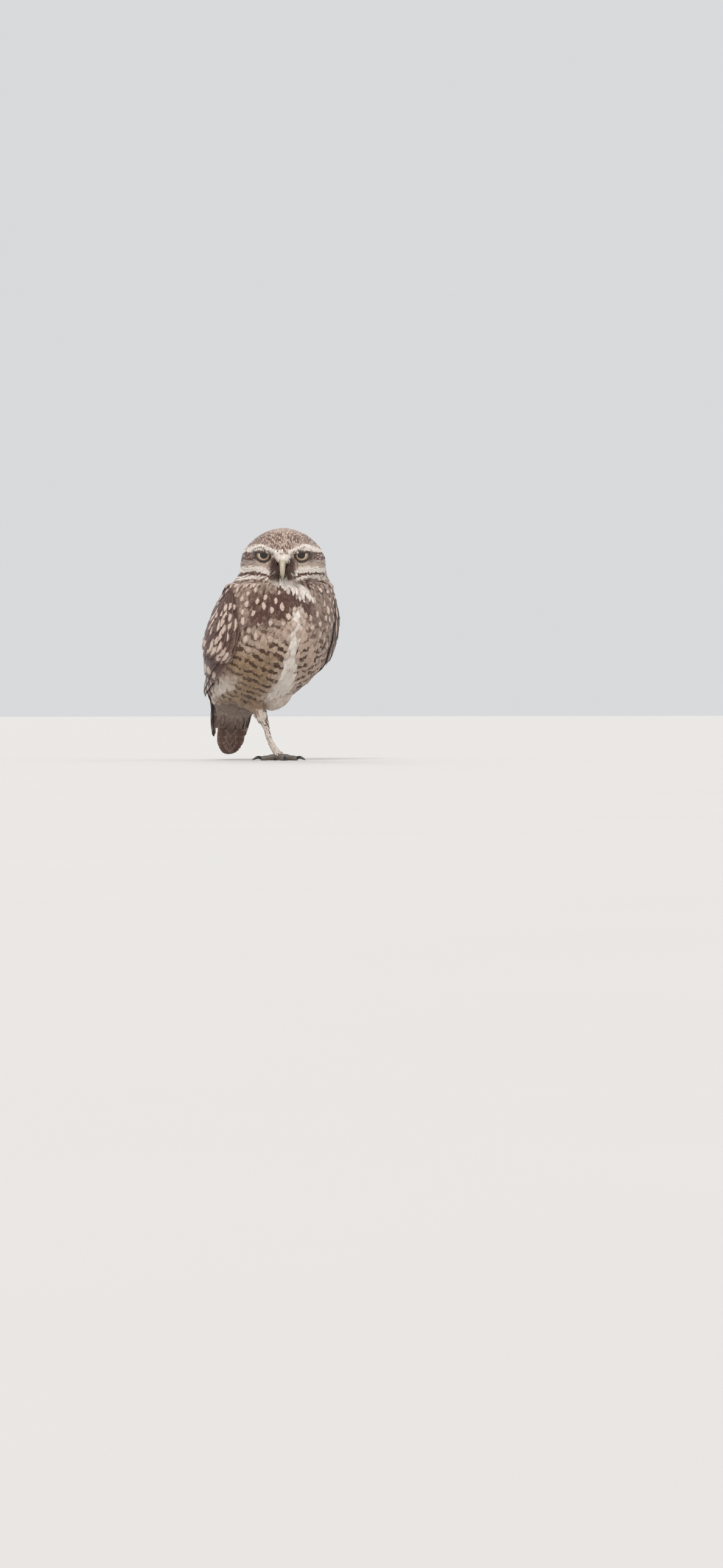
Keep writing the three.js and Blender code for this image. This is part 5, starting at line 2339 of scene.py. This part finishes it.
@dataclass(frozen=True)
class Legs:
    """The standing right leg and the left one, drawn up with its toes curled under the belly."""

    foot: Point = (5, -7, 4.1)
    pad_top: float = 7.5
    pad_radii: Point = (3.0, 4.6, 3.4)
    folded: tuple[Point, ...] = ((14, 31, 63), (13, 9, 60))
    fist: Point = (13, 9, 60)
    toes: tuple[Toe, ...] = (
        Toe("inner", 36, 19, (3, 2.5, 2.9, 2.3, 2.5, 1.7)),
        Toe("middle", -14, 22, (3, 2.5, 2.9, 2.3, 2.6, 2.2, 2.4, 1.7)),
        Toe("outer", -100, 18, (3, 2.4, 2.7, 2.2, 2.4, 1.6)),
        Toe("hind", 175, 14, (3, 2.4, 2.6, 1.7)),
    )
    claw_radii: Row = (1.55, 1.35, 0.9, 0.2)
    claw_run: Row = (-1.5, 3.15, 6.75, 9)
    claw_shade: float = 0.4
    curl: float = 0.82
    fist_size: float = 3.4
    fist_spread: float = 0.55

    def turned(self, turn: float, middle: Sequence[float]) -> Callable[[Array], Array]:
        """A move from a toe's own line, along X, to its place round a middle.

        Args:
            turn: Its turn from the foot's front, in degrees.
            middle: The foot's middle.

        Returns:
            The move, which takes and gives points.
        """
        angle = math.radians(turn - 90)
        c, s = math.cos(angle), math.sin(angle)
        spin = np.array([[c, -s, 0], [s, c, 0], [0, 0, 1]])

        def move(points: Array) -> Array:
            """The points of a toe, turned and put in place."""
            return points @ spin.T + middle

        return move

    def standing(self, toe: Toe) -> tuple[Tube, Tube]:
        """Lays a toe and its claw flat on the ground.

        Args:
            toe: The toe.

        Returns:
            The toe and its claw.
        """
        ground = -self.foot[2]
        low = ground + toe.radii[-1] - 0.4
        length, tip = toe.length, toe.length - 1
        line = [(0, 0, ground + 4.2), (length / 3, 0, ground + 3.1), (length * 2 / 3, 0, ground + 2.3)]
        heights = (low + 0.5, low + 1.7, low + 0.36, ground + 0.4)
        claw = [(tip + run, 0, height) for run, height in zip(self.claw_run, heights)]
        return (
            Tube(np.array([*line, (length, 0, low + 0.2)]), toe.radii, bumps=toe.bumps * 3, bump=0.04),
            Tube(np.array(claw), self.claw_radii),
        )

    def drawn_up(self, toe: Toe) -> tuple[Tube, Tube]:
        """Curls a toe and its claw into the fist.

        Args:
            toe: The toe.

        Returns:
            The toe and its claw.
        """
        r = toe.length / self.fist_size
        radii = tuple(v * self.curl for v in toe.radii)
        line = [(0, 0, 0), (r, 0, 0.6), (1.35 * r, 0, -0.6 * r), (0.8 * r, 0, -1.25 * r)]
        claw = [(r, 0, -1.15 * r), (0.5 * r, 0, -1.45 * r), (0, 0, -1.35 * r), (-0.35 * r, 0, -r)]
        guide = (0.0, 1.0, 0.02)
        return (
            Tube(np.array(line), radii, bumps=toe.bumps * 3, bump=0.04, guide=guide),
            Tube(np.array(claw), self.claw_radii, guide=guide),
        )

    def build(self) -> list[Piece]:
        """Makes both legs with their feet.

        Returns:
            The pieces.
        """
        scutes = ScuteFinish("foot_scutes").make()
        horn = HornFinish("claw_horn", "#2f2b28", "#171513").make()
        made = []
        feet = (
            ("right", self.standing, 1.0, self.foot),
            ("left", self.drawn_up, self.fist_spread, self.fist),
        )
        for side, shaped, spread, middle in feet:
            for toe in self.toes:
                tube, claw = shaped(toe)
                move = self.turned(toe.turn * spread, middle)
                skin = tube.piece(f"toe_{toe.name}_{side}_skin", 60, 24, move)
                nail = claw.piece(f"claw_{toe.name}_{side}_horn", 36, 20, move)
                keep_off_floor(skin)
                keep_off_floor(nail)
                put_attribute(nail.data, "shade", np.full(len(nail.data.vertices), self.claw_shade))
                settle(skin, scutes, "toe", f"toe_{toe.name}_{side}")
                settle(nail, horn, "claw", f"claw_{toe.name}_{side}")
                made += [skin, nail]
        x, y, z = self.foot
        pad = np.array([(x, y, self.pad_top), (x, y, z), (x, y, 0.4)])
        sole = Tube(pad, self.pad_radii, guide=(0, 1, 0)).piece("foot_pad_right", 20, 28)
        keep_off_floor(sole)
        folded = Tube(np.array(self.folded), (3.4, 3.0)).piece("tarsus_left_skin", 30, 24)
        settle(sole, scutes, "toe")
        settle(folded, scutes, "leg", "tarsus_left")
        made += [sole, folded]
        return made


def keep_off_floor(obj: Piece, clear: float = 0.00002) -> None:
    """Presses whatever of a piece would pass the floor flat on it, a hair's breadth above.

    Args:
        obj: The piece.
        clear: How far above the floor it stays, in metres.
    """
    points = np.array([v.co[:] for v in obj.data.vertices])
    points[:, 2] = np.maximum(points[:, 2], clear)
    obj.data.vertices.foreach_set("co", points.astype(np.float32).ravel())


@dataclass(frozen=True)
class Studio:
    """The floor, the light and the camera, which keeps the photo's framing."""

    aim: Point = (73.6, -39.1, -21.8)
    away: float = 4000.0
    level: float = 50.0
    lens: float = 99.8
    sensor: float = 36.0
    floor: float = 30.0
    sky: str = "#e9eaec"
    sky_strength: float = 0.85
    suns: tuple[tuple[str, Point, float, float], ...] = (
        ("key", (-1.2, -1.5, 2.0), 2.1, 24),
        ("fill", (1.8, -1.0, 1.1), 0.5, 60),
        ("back", (0.5, 1.8, 1.7), 0.7, 40),
    )

    def build(self) -> None:
        """Sets the backdrop, the lights and the camera."""
        bpy.ops.mesh.primitive_plane_add(size=self.floor)
        floor = bpy.context.object
        floor.name = "floor"
        floor.data.materials.append(BackdropFinish().make())
        world = bpy.data.worlds.new("soft_world")
        bpy.context.scene.world = world
        world.use_nodes = True
        sky = world.node_tree.nodes["Background"]
        sky.inputs["Color"].default_value = linear(self.sky)
        sky.inputs["Strength"].default_value = self.sky_strength
        for name, place, power, width in self.suns:
            light = bpy.data.lights.new(name, "SUN")
            light.energy, light.angle = power, math.radians(width)
            lamp = bpy.data.objects.new(name, light)
            link(lamp)
            lamp.rotation_euler = (-Vector(place)).to_track_quat("-Z", "Y").to_euler()
        aim = Layout.to_row(np.array(self.aim))
        back = Layout.to_row(np.array(self.aim) + self.away * np.array([*SIGHT, 0.0]))
        eye = Vector((back[0], back[1], self.level * MM))
        data = bpy.data.cameras.new("photo_camera")
        data.lens, data.sensor_width = self.lens, self.sensor
        camera = bpy.data.objects.new("photo_camera", data)
        link(camera)
        camera.location = eye
        camera.rotation_euler = (Vector(aim) - eye).to_track_quat("-Z", "Y").to_euler()
        bpy.context.scene.camera = camera
        bpy.context.scene.view_settings.view_transform = "Standard"


def main() -> None:
    """Dresses the owl part by part."""
    logging.basicConfig(level=logging.INFO, format="%(message)s")
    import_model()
    bpy.ops.object.select_all(action="DESELECT")
    Layout.find()
    PLUMAGE.make()
    chart, markings = Chart(), Markings()
    skin = Skin().build(chart, markings)
    settle(skin, bpy.data.materials[PLUMAGE.name], "breast", *Skin().nodes, *Skin().winged)
    pieces = Coat(Ground(skin, chart), markings).grow()
    for part in (Wings(chart, markings), Tail(), Eyes(), Bill(), Legs()):
        pieces += part.build()
    Studio().build()
    total = sum(len(piece.data.loop_triangles) or len(piece.data.polygons) for piece in pieces)
    LOG.info("%d pieces, about %d faces", len(pieces), total)


if __name__ == "__main__":
    main()
